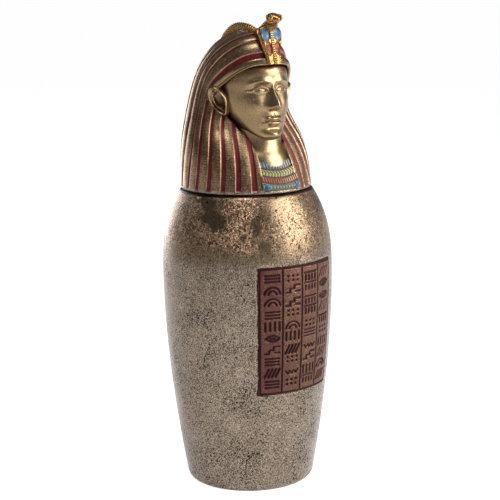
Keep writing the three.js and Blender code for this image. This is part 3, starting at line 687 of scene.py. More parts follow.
def cloth_surface(stripe, v):
    """The cloth's outer skin on the +X side, before the stripes are sunk."""
    rim = LID_BOTTOM + 0.8
    top = lappet_top(np.minimum(stripe, EAR_LINE))
    z = np.where(v < FIRST_ROW / 2, LID_BOTTOM, rim + (top - rim) * (v - FIRST_ROW) / (1 - FIRST_ROW))
    skirt = cloth.at(stripe_angle(stripe, z), np.maximum(z, 0))
    skirt[..., 2] = z
    side_view = swept(stripe, 1 - np.clip(LAST_ROW - v, 0, 1) ** CROWN_EASE)
    crown = cloth.beside(side_view[..., 0], side_view[..., 1])
    crown[..., 0] = np.where(v >= LAST_ROW, 0, crown[..., 0])
    return np.where((v <= 1)[..., None], skirt, crown)


# %% the grid of the cloth
SKIRT_ROWS, CROWN_ROWS = 64, 60


def cloth_columns():
    """Stripe angles from the lappet's edge to the back, crowded at the stripes' edges."""
    columns = [LAPPET_EDGE, 18.2, 19.2, 20.4, 21.8, EAR_LINE]
    foot, top = STRIPE["floor"] / 2, STRIPE["floor"] / 2 + STRIPE["edge"]
    for i in range(STRIPE["count"]):
        middle = STRIPE["first"] + i * STRIPE["pitch"]
        offs = [-top - 2.6, -top - 1.3, -top - 0.3, -top, -top + 0.3, -foot, -foot + 0.4, 0]
        offs += [foot - 0.4, foot, top - 0.3, top, top + 0.3, top + 1.3, top + 2.6, top + 3.8]
        columns += [middle + off for off in offs if middle + off < 179.6]
    return np.array(sorted(columns) + [180.0])


side = cloth_columns()
all_columns = np.concatenate([side, 360 - side[-2::-1]])
crown_rows = 1 + np.arange(1, CROWN_ROWS + 1) / CROWN_ROWS
all_rows = np.concatenate([[0], np.linspace(FIRST_ROW, 1, SKIRT_ROWS), crown_rows])
print("cloth grid:", len(all_columns), "columns by", len(all_rows), "rows")


def cloth_places():
    """Every place of the cloth as an array of columns by rows, with its marks."""
    turn, v = np.meshgrid(all_columns, all_rows, indexing="ij")
    hand = np.where(turn > 180, -1.0, 1.0)
    stripe = np.where(turn > 180, 360 - turn, turn)
    places = cloth_surface(stripe, v)
    # a soft hand over the fold at ear level, so that the pleats bend and don't break
    strokes_of_hand = 160
    loose = smooth(EAR_LINE, EAR_LINE + 14, stripe) * hump(v, 1.0, 0.16)
    for _ in range(strokes_of_hand):
        eased = places.copy()
        eased[:, 1:-1] = (places[:, :-2] + 2 * places[:, 1:-1] + places[:, 2:]) / 4
        places += loose[..., None] * (eased - places)
    inward = np.array([0, -2, 45]) - places
    inward[..., 2] *= smooth(0.95, 1.1, v)
    inward /= np.linalg.norm(inward, axis=-1, keepdims=True)
    sunk = stripe_share(stripe) * smooth(0.6, 2.0, places[..., 2])
    chamfer = np.where(v < FIRST_ROW / 2, 0.8, 0.25 * hump(places[..., 2], 0.3, 0.5))
    pleat = 0.16 * stripe_wave(stripe) * smooth(0, 8, places[..., 2])
    places = places + inward * (sunk * STRIPE["depth"] + chamfer + pleat)[..., None]
    # the two sides meet on the crown line alone, a hair apart up to it
    hair = np.minimum(0.12 * (LAST_ROW - v), 0.02) * (stripe < 179.9) * (v > 1)
    places[..., 0] = np.where(v >= LAST_ROW, 0, np.maximum(places[..., 0], hair)) * hand
    length = np.cumsum(np.linalg.norm(np.diff(places, axis=1, prepend=places[:, :1]), axis=-1), axis=1)
    lip = smooth(1.9, 1.3, places[..., 2])
    dusk = 0.5 + 0.5 * stripe_wave(stripe)
    seam = smooth(1.93, 1.97, v) * (places[..., 1] < -12)
    marks = {"stripe": sunk, "along": length, "lip": lip, "across": stripe, "dusk": dusk, "seam": seam}
    return places, marks


cloth_grid, cloth_marks = cloth_places()


def lay_cloth(u, v, _):
    """Puts each vertex of a plain grid on its place of the cloth."""
    i = np.round((u + 1) / 2 * (len(all_columns) - 1)).astype(int)
    j = np.round((v + 1) / 2 * (len(all_rows) - 1)).astype(int)
    marks = {name: values[i, j] for name, values in cloth_marks.items()}
    marks["cut_away"] = ((cloth_marks["across"][i, j] < EAR_LINE - 0.01) & (all_rows[j] > 1.001)) * 1.0
    return cloth_grid[i, j], marks


# %% [markdown]
# The grid covers the face too, so the cells between the lappets are cut away. The free edge is
# then carried straight back as a hem, and a flat web closes the form behind the face. A hollow
# shell would do as well, but the cast lid is solid.

# %% the cloth cut to its outline and closed behind
kerchief = grid(len(all_columns) - 1, len(all_rows) - 1)
sculpt(kerchief, lay_cloth)
away = kerchief.verts.layers.float["cut_away"]
bmesh.ops.delete(kerchief, geom=[v for v in kerchief.verts if v[away] > 0.5], context="VERTS")
bmesh.ops.remove_doubles(kerchief, verts=kerchief.verts, dist=1e-3)
free = [e for e in kerchief.edges if e.is_boundary and max(v.co.z for v in e.verts) > LID_BOTTOM + 0.1]
turned = bmesh.ops.extrude_edge_only(kerchief, edges=free)["geom"]
hem = [g for g in turned if isinstance(g, bmesh.types.BMVert)]
bmesh.ops.translate(kerchief, verts=hem, vec=(0, CLOTH_RETURN, 0))
kerchief.edges.new([v for v in hem if v.co.z < LID_BOTTOM + 0.01])
web = {e for v in hem for e in v.link_edges if len(e.link_faces) < 2 and e.other_vert(v) in hem}
bmesh.ops.triangle_fill(kerchief, edges=list(web), use_beauty=True, normal=(0, 1, 0))
bmesh.ops.holes_fill(kerchief, edges=[e for e in kerchief.edges if e.is_boundary])

# %% the cloth's finish
OLIVE_DARK, OLIVE_PALE = colour(74, 58, 40), colour(150, 125, 90)


def cloth_layers(start, place, state):
    """Olive bronze on the raised bands, maroon worked into the stripes and rubbed thin, and a painted
    highlight along the stripes' edges.
    """
    stripe, lip, seam = mark(start, "stripe"), mark(start, "lip"), mark(start, "seam")
    along = mark(start, "along")
    blotch = noise(start, place, 160, 2.0, 0.6)
    fine = noise(start, place, 1300, 2.0, 0.6)
    wobble = along + noise(start, place, 420) * 1.5
    rib = (wobble * 5.2).math("SINE") * 0.5 + 0.5
    shade = (rib * 0.09 + fine * 0.7 + blotch * 0.25).rise(0.34, 0.66)
    olive = shade.between(OLIVE_DARK, OLIVE_PALE)
    state["colour"] = state["colour"].mixed((1 - stripe) * (1 - lip) * 0.8, olive)
    dusk = mark(start, "dusk") * (blotch * 0.7 + fine * 0.5).rise(0.75, 0.45)
    state = painted(state, dusk * 0.75, colour(90, 40, 34), 0.42, 0.7)
    worn = (blotch * 0.6 + fine * 0.5).rise(0.72, 0.5)
    cover = (stripe.rise(0.45, 0.9) * (0.8 + worn * 0.2)).math("MAXIMUM", seam)
    state = painted(state, cover, MAROON, 0.36, 0.35)
    # painted highlight: pale lines along both edges of each stripe, for light caught on the rims of the
    # raised bands
    painted_highlight = stripe.rise(0.04, 0.25) * stripe.rise(0.8, 0.45)
    state["colour"] = state["colour"].mixed(painted_highlight * 0.5, colour(150, 112, 98))
    state["height"] = state["height"] + rib * (1 - stripe) * 0.04
    return state


cloth_finish = cast_metal(
    "headcloth", GOLD_DARK, GOLD, GOLD_PALE, pits=0.25, rough=0.34, sand=0.6, layers=cloth_layers
)
headcloth = piece(kerchief, "headcloth", cloth_finish)
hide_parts("lid")

# %% [markdown]
# ## The face and neck
# The head is an egg set into the cloth. Its features follow the schoolbook canon: the eyes half
# way up the head, and brow, nose and chin a third apart. It could be sculpted by hand with a
# brush. Here each feature is one soft push or pull of the clay, added up in a single relief
# function, so that it stays even on both sides.

# %% the face's relief
FACE = {
    "brow": 53.0, "eye": 48.4, "eye_x": 5.9, "eye_half": 3.5,
    "nose_tip": 41.2, "nose_base": 38.4, "mouth": 34.0, "chin": 27.2,
}


def face_relief(x, z):
    """How far the features stand forward of the plain egg, and how dark the wash lies in them."""
    aside = np.abs(x)
    f = FACE
    rise = (1 - smooth(f["nose_tip"], f["brow"], z)) * smooth(f["nose_base"], f["nose_tip"], z)
    nose = 5.2 * rise * hump(x, 0, 2.7 - 1.3 * smooth(f["nose_tip"], f["eye"], z))
    nose += 1.3 * hump(aside, 2.6, 1.1) * hump(z, 40, 1.4)
    brow = 0.9 * hump(z, f["brow"] - 0.05 * (aside - 5) ** 2, 1.5) * hump(aside, 5.5, 5)
    brow_line = 0.28 * hump(z, f["brow"] - 0.3 - 0.045 * (aside - 5.5) ** 2, 0.5)
    brow += brow_line * smooth(1.6, 2.6, aside) * smooth(11.5, 10.2, aside)
    socket = -1.9 * hump(aside, f["eye_x"] - 0.3, 3.6) * hump(z, f["eye"] + 0.4, 2.6)
    out = (aside - f["eye_x"]) / f["eye_half"]
    upper = f["eye"] + 1.25 * (1 - out**2) - 0.15 * out
    lower = f["eye"] - 0.95 * (1 - out**2) - 0.1 * out
    inside = np.abs(out) < 1
    ball_form = 1.5 * hump(aside, f["eye_x"], 2.7) * hump(z, f["eye"], 1.6)
    opening = inside * smooth(lower - 0.15, lower + 0.2, z) * smooth(upper + 0.15, upper - 0.2, z)
    lids = 0.5 * hump(z, upper + 0.3, 0.34) * smooth(1.25, 0.9, np.abs(out))
    lids += 0.34 * hump(z, lower - 0.25, 0.3) * smooth(1.2, 0.85, np.abs(out))
    crease = -0.34 * hump(z, upper + 1.15, 0.4) * smooth(1.2, 0.7, np.abs(out))
    line = 0.25 * hump(z, f["eye"] - 0.25 - 0.02 * (aside - 9) ** 2, 0.35)
    line = line * smooth(8.8, 9.6, aside) * smooth(12.6, 11.6, aside)
    eyes = socket + ball_form + lids + crease + line - 0.3 * opening
    cupid = 0.35 * hump(x, 0, 0.9)
    lip_top = 1.15 * hump(z, f["mouth"] + 1.1 - 0.03 * x * x - cupid * 0.4, 0.85)
    lip_low = 1.3 * hump(z, f["mouth"] - 1.25 + 0.035 * x * x, 0.95)
    parting = -0.75 * hump(z, f["mouth"] - 0.01 * x * x, 0.4) * smooth(5.4, 4.2, aside)
    mouth = (lip_top + lip_low) * smooth(5.0, 2.2, aside) + parting + hump(z, f["mouth"], 3) * hump(x, 0, 5)
    mouth -= 0.35 * hump(aside, 5.2, 0.9) * hump(z, f["mouth"], 0.9)
    philtrum = -0.25 * hump(x, 0, 0.6) * hump(z, 36.5, 1.2)
    philtrum += 0.12 * hump(aside, 1.1, 0.5) * hump(z, 36.4, 1.3)
    chin = 1.5 * hump(z, f["chin"], 2) * hump(x, 0, 3.6) - 0.8 * hump(z, 30.4, 1) * hump(x, 0, 3.6)
    cheek = 0.8 * hump(aside, 8.5, 3.2) * hump(z, 41.5, 4)
    dark = hump(z, upper - 0.15, 0.22) * smooth(1.1, 0.9, np.abs(out))
    dark += 0.7 * hump(z, lower + 0.15, 0.2) * inside
    dark += 0.6 * hump(z, upper + 1.15, 0.3) * smooth(1.1, 0.8, np.abs(out))
    dark += 0.8 * hump(z, f["mouth"] - 0.01 * x * x, 0.28) * smooth(5.2, 4.4, aside)
    dark += 0.8 * hump(aside, 1.5, 0.6) * hump(z, 38.7, 0.5)
    return nose + brow + eyes + mouth + philtrum + chin + cheek, np.clip(dark, 0, 1)


def egg_head(x, y, z):
    """The sphere's rows are crowded at the chin's height and its columns at the front."""
    share = np.arcsin(np.clip(z, -1, 1)) / math.pi + 0.5
    height = head.low + (head.high - head.low) * (share - 0.06 * np.sin(math.tau * share))
    turn = np.where(np.hypot(x, y) < 1e-6, 0, np.arctan2(x, -y))
    crowded = turn * (0.42 + 0.58 * np.abs(turn) / math.pi)
    places = head.at(crowded, height)
    front = smooth(0.1, 0.6, np.cos(crowded)) * smooth(24, 26.5, height)
    relief, dark = face_relief(places[..., 0], height)
    places[..., 1] -= relief * front
    return places, {"crease": dark * front}


def face_layers(start, place, state):
    """Satin gold with the dark wash left only in the creases."""
    crease = mark(start, "crease") * (noise(start, place, 500) * 0.5 + 0.75)
    return painted(state, crease * 0.8, colour(44, 28, 18), 0.55, 0.7)


face_finish = cast_metal(
    "face bronze", colour(104, 87, 63), colour(132, 111, 82), colour(162, 140, 110),
    pits=0.0, rough=0.31, sand=0.35, layers=face_layers
)
egg = ball(220, 170)
sculpt(egg, egg_head)
piece(egg, "head", face_finish)

# %% [markdown]
# The neck could be drawn out of the head. The collar and the lappets hide where it ends, so it is
# a spun profile that reaches up into the head and down into the collar.

# %% the neck
NECK = [(6, 15.6), (12.5, 15.4), (16.5, 14.2), (20, 12.2), (25, 11.2), (32, 11.2)]
NECK_FORWARD = 11.2
neck_curve = through(NECK)
neck_low, neck_high = NECK[0][0], NECK[-1][0]
neck_line = [(float(neck_curve(z)), z) for z in np.linspace(neck_low, neck_high, 34)]
column = spun([(0, neck_low), *neck_line, (0, neck_high)], 96)
bmesh.ops.translate(column, verts=column.verts, vec=(0, -NECK_FORWARD, 0))
piece(column, "neck", face_finish)

# %% [markdown]
# ## The beaded collar
# A broad collar of bead rows closes the gap between the lappets. Real ones are strung from
# faience tubes; the casting shows them as ridges in bands, each painted another colour. Every
# bead could be a copy of one small mesh. As they are cast in one, a slab is bent to the front of
# a cone and sculpted row by row, and the colour of each place is stored with it.

# %% the collar's rows
COLLAR = {"slope": 0.66, "radius": 34.3, "half": 10.6, "rows": (1.4, 4.1, 7.0, 10.5, 14.0), "dip": 1.4}
COLLAR_LOW, COLLAR_TALL, COLLAR_THICK = -0.5, 15.2, 1.4
END_BEAD = {"x": 8.6, "half": 1.5, "proud": 0.7}
ENAMEL = {
    "blue": colour(30, 66, 96), "leaf": colour(104, 108, 58), "rose": colour(104, 30, 30),
    "sea": colour(84, 118, 104), "pale": colour(170, 160, 130),
}


def enamel_marks(cover, dark, tint):
    """Where paint lies, where the wash lies, and the paint's colour."""
    return {"cover": cover, "dark": dark, "red": tint[:, 0], "green": tint[:, 1], "blue": tint[:, 2]}


def collar_form(u, v, w):
    x = u * COLLAR["half"]
    h = COLLAR_LOW + (v + 1) / 2 * COLLAR_TALL
    rows = COLLAR["rows"]
    groove = np.max([smooth(0.42, 0.12, np.abs(h - r)) for r in rows], axis=0)

    def ticks(pitch, gap):
        return smooth(gap - 0.2, gap + 0.25, np.abs(np.sin(x * math.pi / pitch)))

    bars = ticks(1.5, 0.42)
    zigzag = np.abs(((h - rows[2]) / 1.75) % 2 - 1) * 1.2
    lean = smooth(0.1, 0.26, np.abs(((x + zigzag) / 1.6) % 1 - 0.5))
    tight = ticks(1.3, 0.5)
    spots = np.clip(1.5 - 2.2 * np.hypot(((x / 1.7 + 0.5) % 1 - 0.5) * 1.7, h - 2.75), 0, 1)
    bands = [(spots, "sea"), (tight, "rose"), (lean, "leaf"), (bars, "blue")]
    relief, tint, cover, dark = np.zeros_like(h), np.zeros((len(h), 3)), np.zeros_like(h), groove.copy()
    for low, high, (pattern, name) in zip(rows, rows[1:], bands):
        here = (h >= low) & (h < high)
        inner = smooth(low + 0.2, low + 0.6, h) * smooth(high - 0.2, high - 0.6, h)
        relief = np.where(here, 0.42 * pattern * inner, relief)
        cover = np.where(here, inner, cover)
        dark = np.where(here, np.maximum(dark, 0.8 * (1 - pattern) * inner), dark)
        # painted highlight: the high parts of the beads are paled, more towards +X, the side that the key
        # light falls on
        pale = (smooth(0.7, 1.0, pattern) * (0.1 + 0.4 * smooth(-2, 6, x)))[here, None]
        tint[here] = np.array(ENAMEL[name]) * (1 - pale) + np.array(ENAMEL["pale"]) * pale
    off = (np.abs(x) - END_BEAD["x"]) / END_BEAD["half"]
    ends = (h >= rows[0]) & (h < rows[1]) & (np.abs(off) < 1)
    tint[ends] = ENAMEL["blue"]
    relief = np.where(ends, END_BEAD["proud"] * np.sqrt(np.clip(1 - off**2, 0, 1)), relief)
    dark = np.where(ends, groove, dark)
    cone = np.minimum(cloth.half(0.0) - 0.1, COLLAR["radius"] - COLLAR["slope"] * h)
    radius = cone + relief - 0.4 * groove - 0.7 * smooth(0.2, COLLAR_LOW, h)
    y = -np.sqrt(np.maximum(radius**2 - x**2, 1)) - COLLAR_THICK * w
    z = h + COLLAR["dip"] * np.minimum((x / 9) ** 2, 1.4) * smooth(1, 5, h)
    return np.stack([x, y, z], -1), enamel_marks(cover, dark, tint)


def enamel_layers(start, place, state):
    """Paint whose colour is stored on the vertices, rubbed off the high places."""
    cover, dark = mark(start, "cover"), mark(start, "dark")
    parts = {"Red": mark(start, "red"), "Green": mark(start, "green"), "Blue": mark(start, "blue")}
    tint = start.node("CombineColor", inputs=parts)
    rub = (noise(start, place, 700, 2.0, 0.6) + noise(start, place, 260) * 0.5).rise(0.95, 0.7)
    state = painted(state, cover * (0.66 + rub * 0.34), tint, 0.5, 0.1)
    return painted(state, dark.rise(0.3, 0.9) * 0.82, colour(66, 44, 26), 0.6, 0.2)


collar_finish = cast_metal(
    "collar paint", GOLD_DARK, GOLD, GOLD_PALE, pits=0.2, rough=0.36, layers=enamel_layers
)
bib = slab(150, 110)
sculpt(bib, collar_form)
piece(bib, "collar", collar_finish)

# %% [markdown]
# ## The gold frontlet
# A plain gold band holds the cloth on the forehead and runs down behind each ear. A curve with
# a bevel would be quicker, but its section couldn't lie on the cloth. So a slab is wrapped along
# the band's path, half round in section, with a bead along its lower edge.

# %% the band
BAND = {"height": 3.2, "lap": 0.5, "proud": 0.8, "sunk": 1.6, "narrow": 6.0}


def band_form(u, v, w):
    """The band runs from one ear over the forehead to the other, across the cloth's front edge."""
    share = 1 - np.abs(u)
    edge = frontlet_edge(share)
    ahead = frontlet_edge(np.minimum(share + 0.02, 1)) - frontlet_edge(np.maximum(share - 0.02, 0))
    down = np.stack([ahead[:, 1], -ahead[:, 0]], -1)
    down /= np.linalg.norm(down, axis=-1, keepdims=True)
    down *= -np.sign(down[:, 1:2])
    down = np.where(share[:, None] > 0.999, np.array([0.0, -1.0]), down)
    over = (v + 1) / 2
    off = BAND["height"] * over - BAND["lap"]
    flat = edge + down * off[:, None]
    places = cloth.beside(flat[:, 0], flat[:, 1])
    out = np.stack([places[:, 0], places[:, 1] - 2, 0 * share], -1)
    out /= np.linalg.norm(out, axis=-1, keepdims=True)
    crown = np.clip(1 - (2 * over - 1) ** 4, 0, 1)
    bead = hump(over, 0.86, 0.07)
    gap = hump(over, 0.74, 0.045)
    lift = BAND["proud"] * (0.55 + 0.35 * crown) + 0.22 * bead - 0.4 * gap
    places += out * (lift + BAND["sunk"] * w)[:, None]
    places[:, 0] = np.maximum(places[:, 0], BAND["narrow"] * np.abs(u)) * np.sign(u)
    return places, {"cut": gap}


def gold_layers(start, place, state):
    """Plain gold, with the wash left in the cuts."""
    cut = mark(start, "cut")
    return painted(state, cut.rise(0.35, 1.0) * 0.7, colour(52, 32, 20), 0.55, 0.7)


band_finish = cast_metal(
    "frontlet gold", colour(94, 74, 54), colour(130, 107, 80), colour(166, 142, 112),
    pits=0.0, rough=0.28, sand=0.4, layers=gold_layers
)
ribbon = slab(160, 28)
sculpt(ribbon, band_form)
piece(ribbon, "frontlet_band", band_finish)

# %% [markdown]
# ## The ears
# A sculptor's ear is an egg squashed flat, with a bowl pressed in, a rim rolled round it and
# a soft lobe. The bowl, rim and inner fold are pushes on a sphere, and the second ear is
# the first one mirrored.

# %% the ears
EAR = {"place": (18.8, -6.6, 43.6), "height": 16.5, "width": 8.8, "depth": 4.8}
EAR_TURN = {"X": -26, "Y": 9, "Z": -28}  # leaned back, splayed at the top, and flared out


def ear_form(x, y, z):
    """Presses an ear into the +X side of a sphere, which then is squashed flat."""
    out, front = np.hypot(y, z), -y
    face_on = smooth(-0.25, 0.25, x)
    rim = 0.8 * hump(out, 0.86, 0.13) * (1 - 0.6 * smooth(0.2, 0.7, front) * hump(z, -0.15, 0.35))
    bowl = -0.55 * smooth(0.82, 0.62, out) * smooth(-0.85, -0.6, z)
    inner = 0.95 * hump(np.hypot(y - 0.08, z * 0.85 - 0.05), 0.46, 0.12)
    inner = inner * smooth(0.25, -0.1, front) * smooth(-0.75, -0.5, z)
    fork = 0.4 * hump(z, 0.55 + 0.3 * front, 0.1) * hump(front, 0.1, 0.3)
    tragus = 0.75 * hump(front, 0.6, 0.17) * hump(z, -0.12, 0.2)
    concha = -0.4 * hump(np.hypot(front - 0.15, z + 0.1), 0, 0.3)
    relief = rim + bowl + inner + fork + tragus + concha
    lobe = 1 - 0.35 * smooth(0, 1, -z)
    thick = x * (1 - 0.55 * face_on) + relief * face_on * smooth(1.0, 0.93, out)
    places = [thick * EAR["depth"] / 2, y * lobe * EAR["width"] / 2, z * EAR["height"] / 2]
    return np.stack(places, -1), {"cut": np.clip(0.15 - relief, 0, 1) * face_on * smooth(0.9, 0.75, out)}


def make_ear(hand, name):
    """hand is 1 for the figure's left ear and -1 for the mirrored one."""
    bm = ball(96, 80)
    sculpt(bm, ear_form)
    pose = Matrix.Translation(EAR["place"])
    for axis in "ZYX":
        pose = pose @ Matrix.Rotation(math.radians(EAR_TURN[axis]), 4, axis)
    bm.transform(pose)
    bmesh.ops.scale(bm, vec=(hand, 1, 1), verts=bm.verts)
    piece(bm, name, band_finish)


make_ear(1, "ear_left")
make_ear(-1, "ear_right")

# %% [markdown]
# ## The cobra
# A rearing cobra guards the forehead: a flared hood inlaid with blue, a blunt head with bossed
# eyes, and a scaled body that lies back along the crown. It was cast with the head and picked
# out in warmer gold. A single sculpture would need very fine faces all over, so the hood is
# a slab, the head and eyes are spheres, and the body is a grid rolled round its path.

# %% the hood
HOOD = {"width": 12.8, "top": 78.8, "bottom": 60.8, "thick": 3.4, "top_y": -21.2, "bottom_y": -25.6}
LOBE = {"x": 3.35, "up": 0.76, "half": (2.25, 0.18)}
FOOT_LOBE = {"x": 2.6, "up": 0.4, "half": (1.7, 0.18)}
ENAMEL_BLUE, ENAMEL_MAROON = np.array(colour(18, 72, 104)), np.array(colour(84, 20, 18))
HOOD_OUTLINE = [(0, 0.56), (0.25, 0.68), (0.5, 0.87), (0.7, 0.98), (0.82, 1.0), (0.93, 0.85), (1, 0.55)]
hood_half = through(HOOD_OUTLINE)


def lobe_reach(lobe, aside, up):
    """1 on the outline of an inlaid lobe, less inside it."""
    wide, tall = lobe["half"]
    return np.hypot((aside - lobe["x"]) / wide, (up - lobe["up"]) / tall)


def hood_form(u, v, w):
    """A shield with a ribbed rim, a ladder of scales down the middle and sunk lobes for paint."""
    up = (v + 1) / 2
    half = hood_half(up) * HOOD["width"] / 2
    x = u * half
    aside = np.abs(x)
    rim = smooth(0.62, 0.74, np.abs(u)) * 0.35
    ridge_zone = smooth(1.15, 0.85, aside)
    rungs = 0.5 + 0.5 * np.cos(up * 17 * math.tau)
    reach, foot_reach = lobe_reach(LOBE, aside, up), lobe_reach(FOOT_LOBE, aside, up)
    lobe, foot_lobe = smooth(1.0, 0.84, reach), smooth(1.0, 0.8, foot_reach)
    ribs = 0.18 * np.cos(np.abs(u) * 31) * smooth(0.7, 0.76, np.abs(u))
    scale_bumps = 0.4 * hump(up, 0.1, 0.12) * hump(x, 0, 1.5) * (0.6 + 0.4 * np.cos(x * 5) * np.cos(up * 60))
    relief = rim + ribs + ridge_zone * (0.25 + 0.3 * rungs) - 0.45 * (lobe + foot_lobe) + scale_bumps
    relief += 0.35 * np.sin(np.pi * up) * (1 - u * u)
    relief *= smooth(1.0, 0.93, np.abs(u))
    tilt = HOOD["top_y"] - HOOD["bottom_y"]
    middle = HOOD["bottom_y"] + tilt * up
    face_y = middle - HOOD["thick"] / 2 + 0.4 - relief + np.abs(u) ** 6
    y = np.where(w < -0.5, middle + HOOD["thick"] / 2 - 0.6, face_y)
    z = HOOD["bottom"] + up * (HOOD["top"] - HOOD["bottom"])
    chalk = ridge_zone * rungs * smooth(0.5, 0.58, up) * smooth(0.95, 0.9, up) * 0.7
    tint = np.where((lobe >= foot_lobe)[:, None], ENAMEL_BLUE, ENAMEL_MAROON)
    tint = np.where((chalk > 0.1)[:, None], np.array(ENAMEL["pale"]), tint)
    outline = hump(reach, 1.0, 0.09) + hump(foot_reach, 1.0, 0.12)
    dark = np.clip(ridge_zone * (1 - rungs) * 0.9 + outline, 0, 1)
    return np.stack([x, y, z], -1), enamel_marks(lobe + foot_lobe + chalk, dark, tint)


cobra_finish = cast_metal(
    "cobra gold", colour(100, 66, 34), colour(152, 108, 58), colour(196, 152, 92),
    pits=0.1, rough=0.28, layers=enamel_layers
)
shield = slab(110, 150)
sculpt(shield, hood_form)
piece(shield, "cobra_hood", cobra_finish)

# %% [markdown]
# The cobra's head is an egg with a brow, a slit and small scales pressed in, and each eye is
# a coiled boss. They could be cut with fine tools; waves of cosines give the same texture.

# %% the cobra's head and eyes
COBRA = {"y": -25.2, "z": 81.6, "length": 9.8, "width": 6.8, "height": 6.2}
EYE_RADIUS = 1.75


def cobra_form(x, y, z):
    """A blunt egg with brow ridges, a slit for the mouth and small scales behind."""
    snout = smooth(-0.2, 1, -y)
    taper = 1 - 0.35 * snout
    brow = 0.16 * hump(np.abs(x), 0.62, 0.22) * hump(z, 0.55, 0.25) * hump(y, -0.1, 0.4)
    mouth = -0.09 * hump(z, -0.35, 0.08) * smooth(0.2, -0.3, y)
    scales = 0.03 * np.cos(x * 16) * np.cos(y * 16) * smooth(-0.6, 0.1, y)
    swell = 1 + brow + mouth + scales
    places = np.stack([
        x * taper * swell * COBRA["width"] / 2,
        y * COBRA["length"] / 2 + COBRA["y"],
        z * (1 - 0.3 * snout) * swell * COBRA["height"] / 2 + COBRA["z"],
    ], -1)
    return places, {"dark": smooth(0.02, 0.06, -mouth), "cover": 0.0}


skull = ball(72, 56)
sculpt(skull, cobra_form)
piece(skull, "cobra_head", cobra_finish)


def eye_boss(hand, name):
    """A coiled boss: rings pressed into a flattened ball."""
    bm = ball(40, 32)

    def form(x, y, z):
        out = np.hypot(y, z)
        coil = 0.5 + 0.5 * np.cos(out * 17 + np.arctan2(z, y))
        places = np.stack([x * (0.8 + 0.2 * coil), y * EYE_RADIUS, z * EYE_RADIUS], -1)
        return places, {"dark": (1 - coil) * smooth(0, 0.3, np.abs(x)), "cover": 0.0}

    sculpt(bm, form)
    lean = Matrix.Rotation(math.radians(24 * hand), 4, "Z")
    bm.transform(Matrix.Translation((2.35 * hand, COBRA["y"] - 1.6, COBRA["z"] + 0.7)) @ lean)
    piece(bm, name, cobra_finish)


eye_boss(1, "cobra_eye_left")
eye_boss(-1, "cobra_eye_right")

# %% [markdown]
# The body could be a curve with a round bevel. A curve has no scales, so a flat grid is rolled
# into a tube along the same path, and two crossing waves raise the scales.

# %% the cobra's neck and body
SNAKE_PATH = [
    (-24.5, 79.6), (-19.8, 78), (-16, 75.6), (-10.5, 74.8), (-4, 76.8),
    (3, 77.5), (9, 76.4), (14.4, 73.2), (18.2, 68.6), (18.6, 64),
]
SNAKE = {"radius": 2.1, "neck": 0.5, "tail": 0.9, "scale": 0.45, "around": 5, "along": 62 * 1.8}
snake_line = route(SNAKE_PATH)


def snake_form(u, v, _):
    """A tube round the snake's line, with lozenge scales in two crossing waves."""
    t = (v + 1) / 2
    middle = snake_line(t)
    ahead = snake_line(np.minimum(t + 0.01, 1)) - snake_line(np.maximum(t - 0.01, 0))
    ahead /= np.linalg.norm(ahead, axis=-1, keepdims=True)
    turn = u * math.pi
    across, along = turn * SNAKE["around"], t * SNAKE["along"]
    scales = np.abs(np.cos(across + along) * np.cos(across - along))
    radius = SNAKE["radius"] + SNAKE["neck"] * smooth(0.16, 0.0, t) - SNAKE["tail"] * smooth(0.8, 1, t)
    radius = (radius + SNAKE["scale"] * scales) * np.sqrt(np.clip((1 - t) * 40, 0, 1))
    lift = radius * np.cos(turn)
    y = middle[:, 0] - ahead[:, 1] * lift
    z = middle[:, 1] + ahead[:, 0] * lift
    return np.stack([radius * np.sin(turn), y, z], -1), {"dark": smooth(0.5, 0.15, scales), "cover": 0.0}


rope = grid(56, 260)
sculpt(rope, snake_form)
bmesh.ops.remove_doubles(rope, verts=rope.verts, dist=1e-3)
bmesh.ops.holes_fill(rope, edges=[e for e in rope.edges if e.is_boundary])
piece(rope, "cobra_body", cobra_finish)

# %% [markdown]
# ## The lid's plug
# A short drum under the lid drops into the jar's mouth and keeps the lid from sliding, and the
# wider disc over it is the lid's underside. It could stay the CAD's own facets, but nobody sees
# it until the lid is lifted, so a plain spun profile in the same metal is enough.

# %% the plug
PLUG = [(0, -5.5), (26.2, -5.5), (26.5, -5.2), (26.8, -0.45), (31.3, -0.45), (31.3, 1.5), (0, 1.5)]
drum = spun(PLUG, 96)
piece(drum, "lid_plug", jar_finish)

# %% [markdown]
# ## Light, paper and camera
# The jar stands on white paper under soft lights. Metal shows what surrounds it, so the room is
# dim above and the paper bright below, which leaves the shoulder dark and the lower wall pale.

# %% the paper and the room
PAPER_HALF, PAPER_GLOW, ROOM_GLOW = 60, 0.9, 0.16


def paper():
    """White paper that glows a little, as if lit from all round."""
    bm = grid(1, 1)
    bmesh.ops.scale(bm, vec=(PAPER_HALF, PAPER_HALF, 1), verts=bm.verts)
    mesh = bpy.data.meshes.new("paper")
    bm.to_mesh(mesh)
    bm.free()
    sheet = bpy.data.objects.new("paper", mesh)
    bpy.context.scene.collection.objects.link(sheet)
    finish = bpy.data.materials.new("white paper")
    finish.use_nodes = True
    shader = finish.node_tree.nodes["Principled BSDF"]
    shader.inputs["Base Color"].default_value = (0.5, 0.5, 0.5, 1)
    shader.inputs["Roughness"].default_value = 0.9
    shader.inputs["Emission Color"].default_value = (1, 1, 1, 1)
    shader.inputs["Emission Strength"].default_value = PAPER_GLOW
    mesh.materials.append(finish)


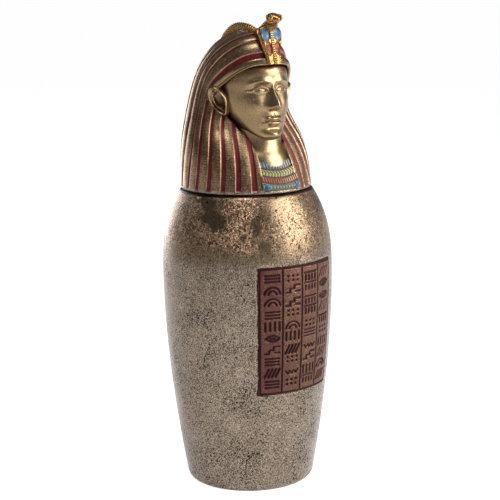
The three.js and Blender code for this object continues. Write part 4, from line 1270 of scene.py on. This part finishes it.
paper()
room = bpy.data.worlds.new("room")
bpy.context.scene.world = room
room.use_nodes = True
room.node_tree.nodes["Background"].inputs["Color"].default_value = (1, 1, 1, 1)
room.node_tree.nodes["Background"].inputs["Strength"].default_value = ROOM_GLOW
bpy.context.scene.view_settings.view_transform = "Standard"
LIGHT_AIM = 0.12


def direction(azimuth, elevation):
    """The way from the jar to something that stands at an angle round it and above it."""
    a, e = math.radians(azimuth), math.radians(elevation)
    return Vector((math.sin(a) * math.cos(e), -math.cos(a) * math.cos(e), math.sin(e)))


def soft_light(name, azimuth, elevation, distance, size, power):
    """A softbox, so wide and so tall, that faces the middle of the jar."""
    lamp = bpy.data.lights.new(name, "AREA")
    lamp.shape = "RECTANGLE"
    lamp.size, lamp.size_y = size
    lamp.energy = power
    holder = bpy.data.objects.new(name, lamp)
    bpy.context.scene.collection.objects.link(holder)
    away = direction(azimuth, elevation)
    holder.location = Vector((0, 0, LIGHT_AIM)) + away * distance
    holder.rotation_euler = (-away).to_track_quat("-Z", "Y").to_euler()
    print(f"{name} light: {power} W")


soft_light("key", 35, 25, 0.8, (0.62, 0.7), 15)
soft_light("rim", -182, 4, 0.9, (0.55, 0.5), 3.6)
soft_light("top", -40, 75, 0.8, (0.25, 0.25), 3)

# %% the camera
VIEW = {"distance": 680.5, "elevation": 11.07, "azimuth": -37.7, "aim": 115.96, "lens": 97.66}
ROLL, SIDEWAYS_SHIFT, SENSOR = 0.93, 0.0056, 36


def camera():
    lens = bpy.data.cameras.new("camera")
    lens.sensor_width, lens.lens, lens.shift_x = SENSOR, VIEW["lens"], SIDEWAYS_SHIFT
    lens.clip_start, lens.clip_end = 0.01, 200
    eye = bpy.data.objects.new("camera", lens)
    bpy.context.scene.collection.objects.link(eye)
    away = direction(VIEW["azimuth"], VIEW["elevation"])
    place = (Vector((0, 0, VIEW["aim"])) + away * VIEW["distance"]) * MM
    turn = (-away).to_track_quat("-Z", "Y").to_matrix().to_4x4()
    eye.matrix_world = Matrix.Translation(place) @ turn @ Matrix.Rotation(math.radians(-ROLL), 4, "Z")
    bpy.context.scene.camera = eye
    print("camera at", [round(v, 3) for v in place])


camera()
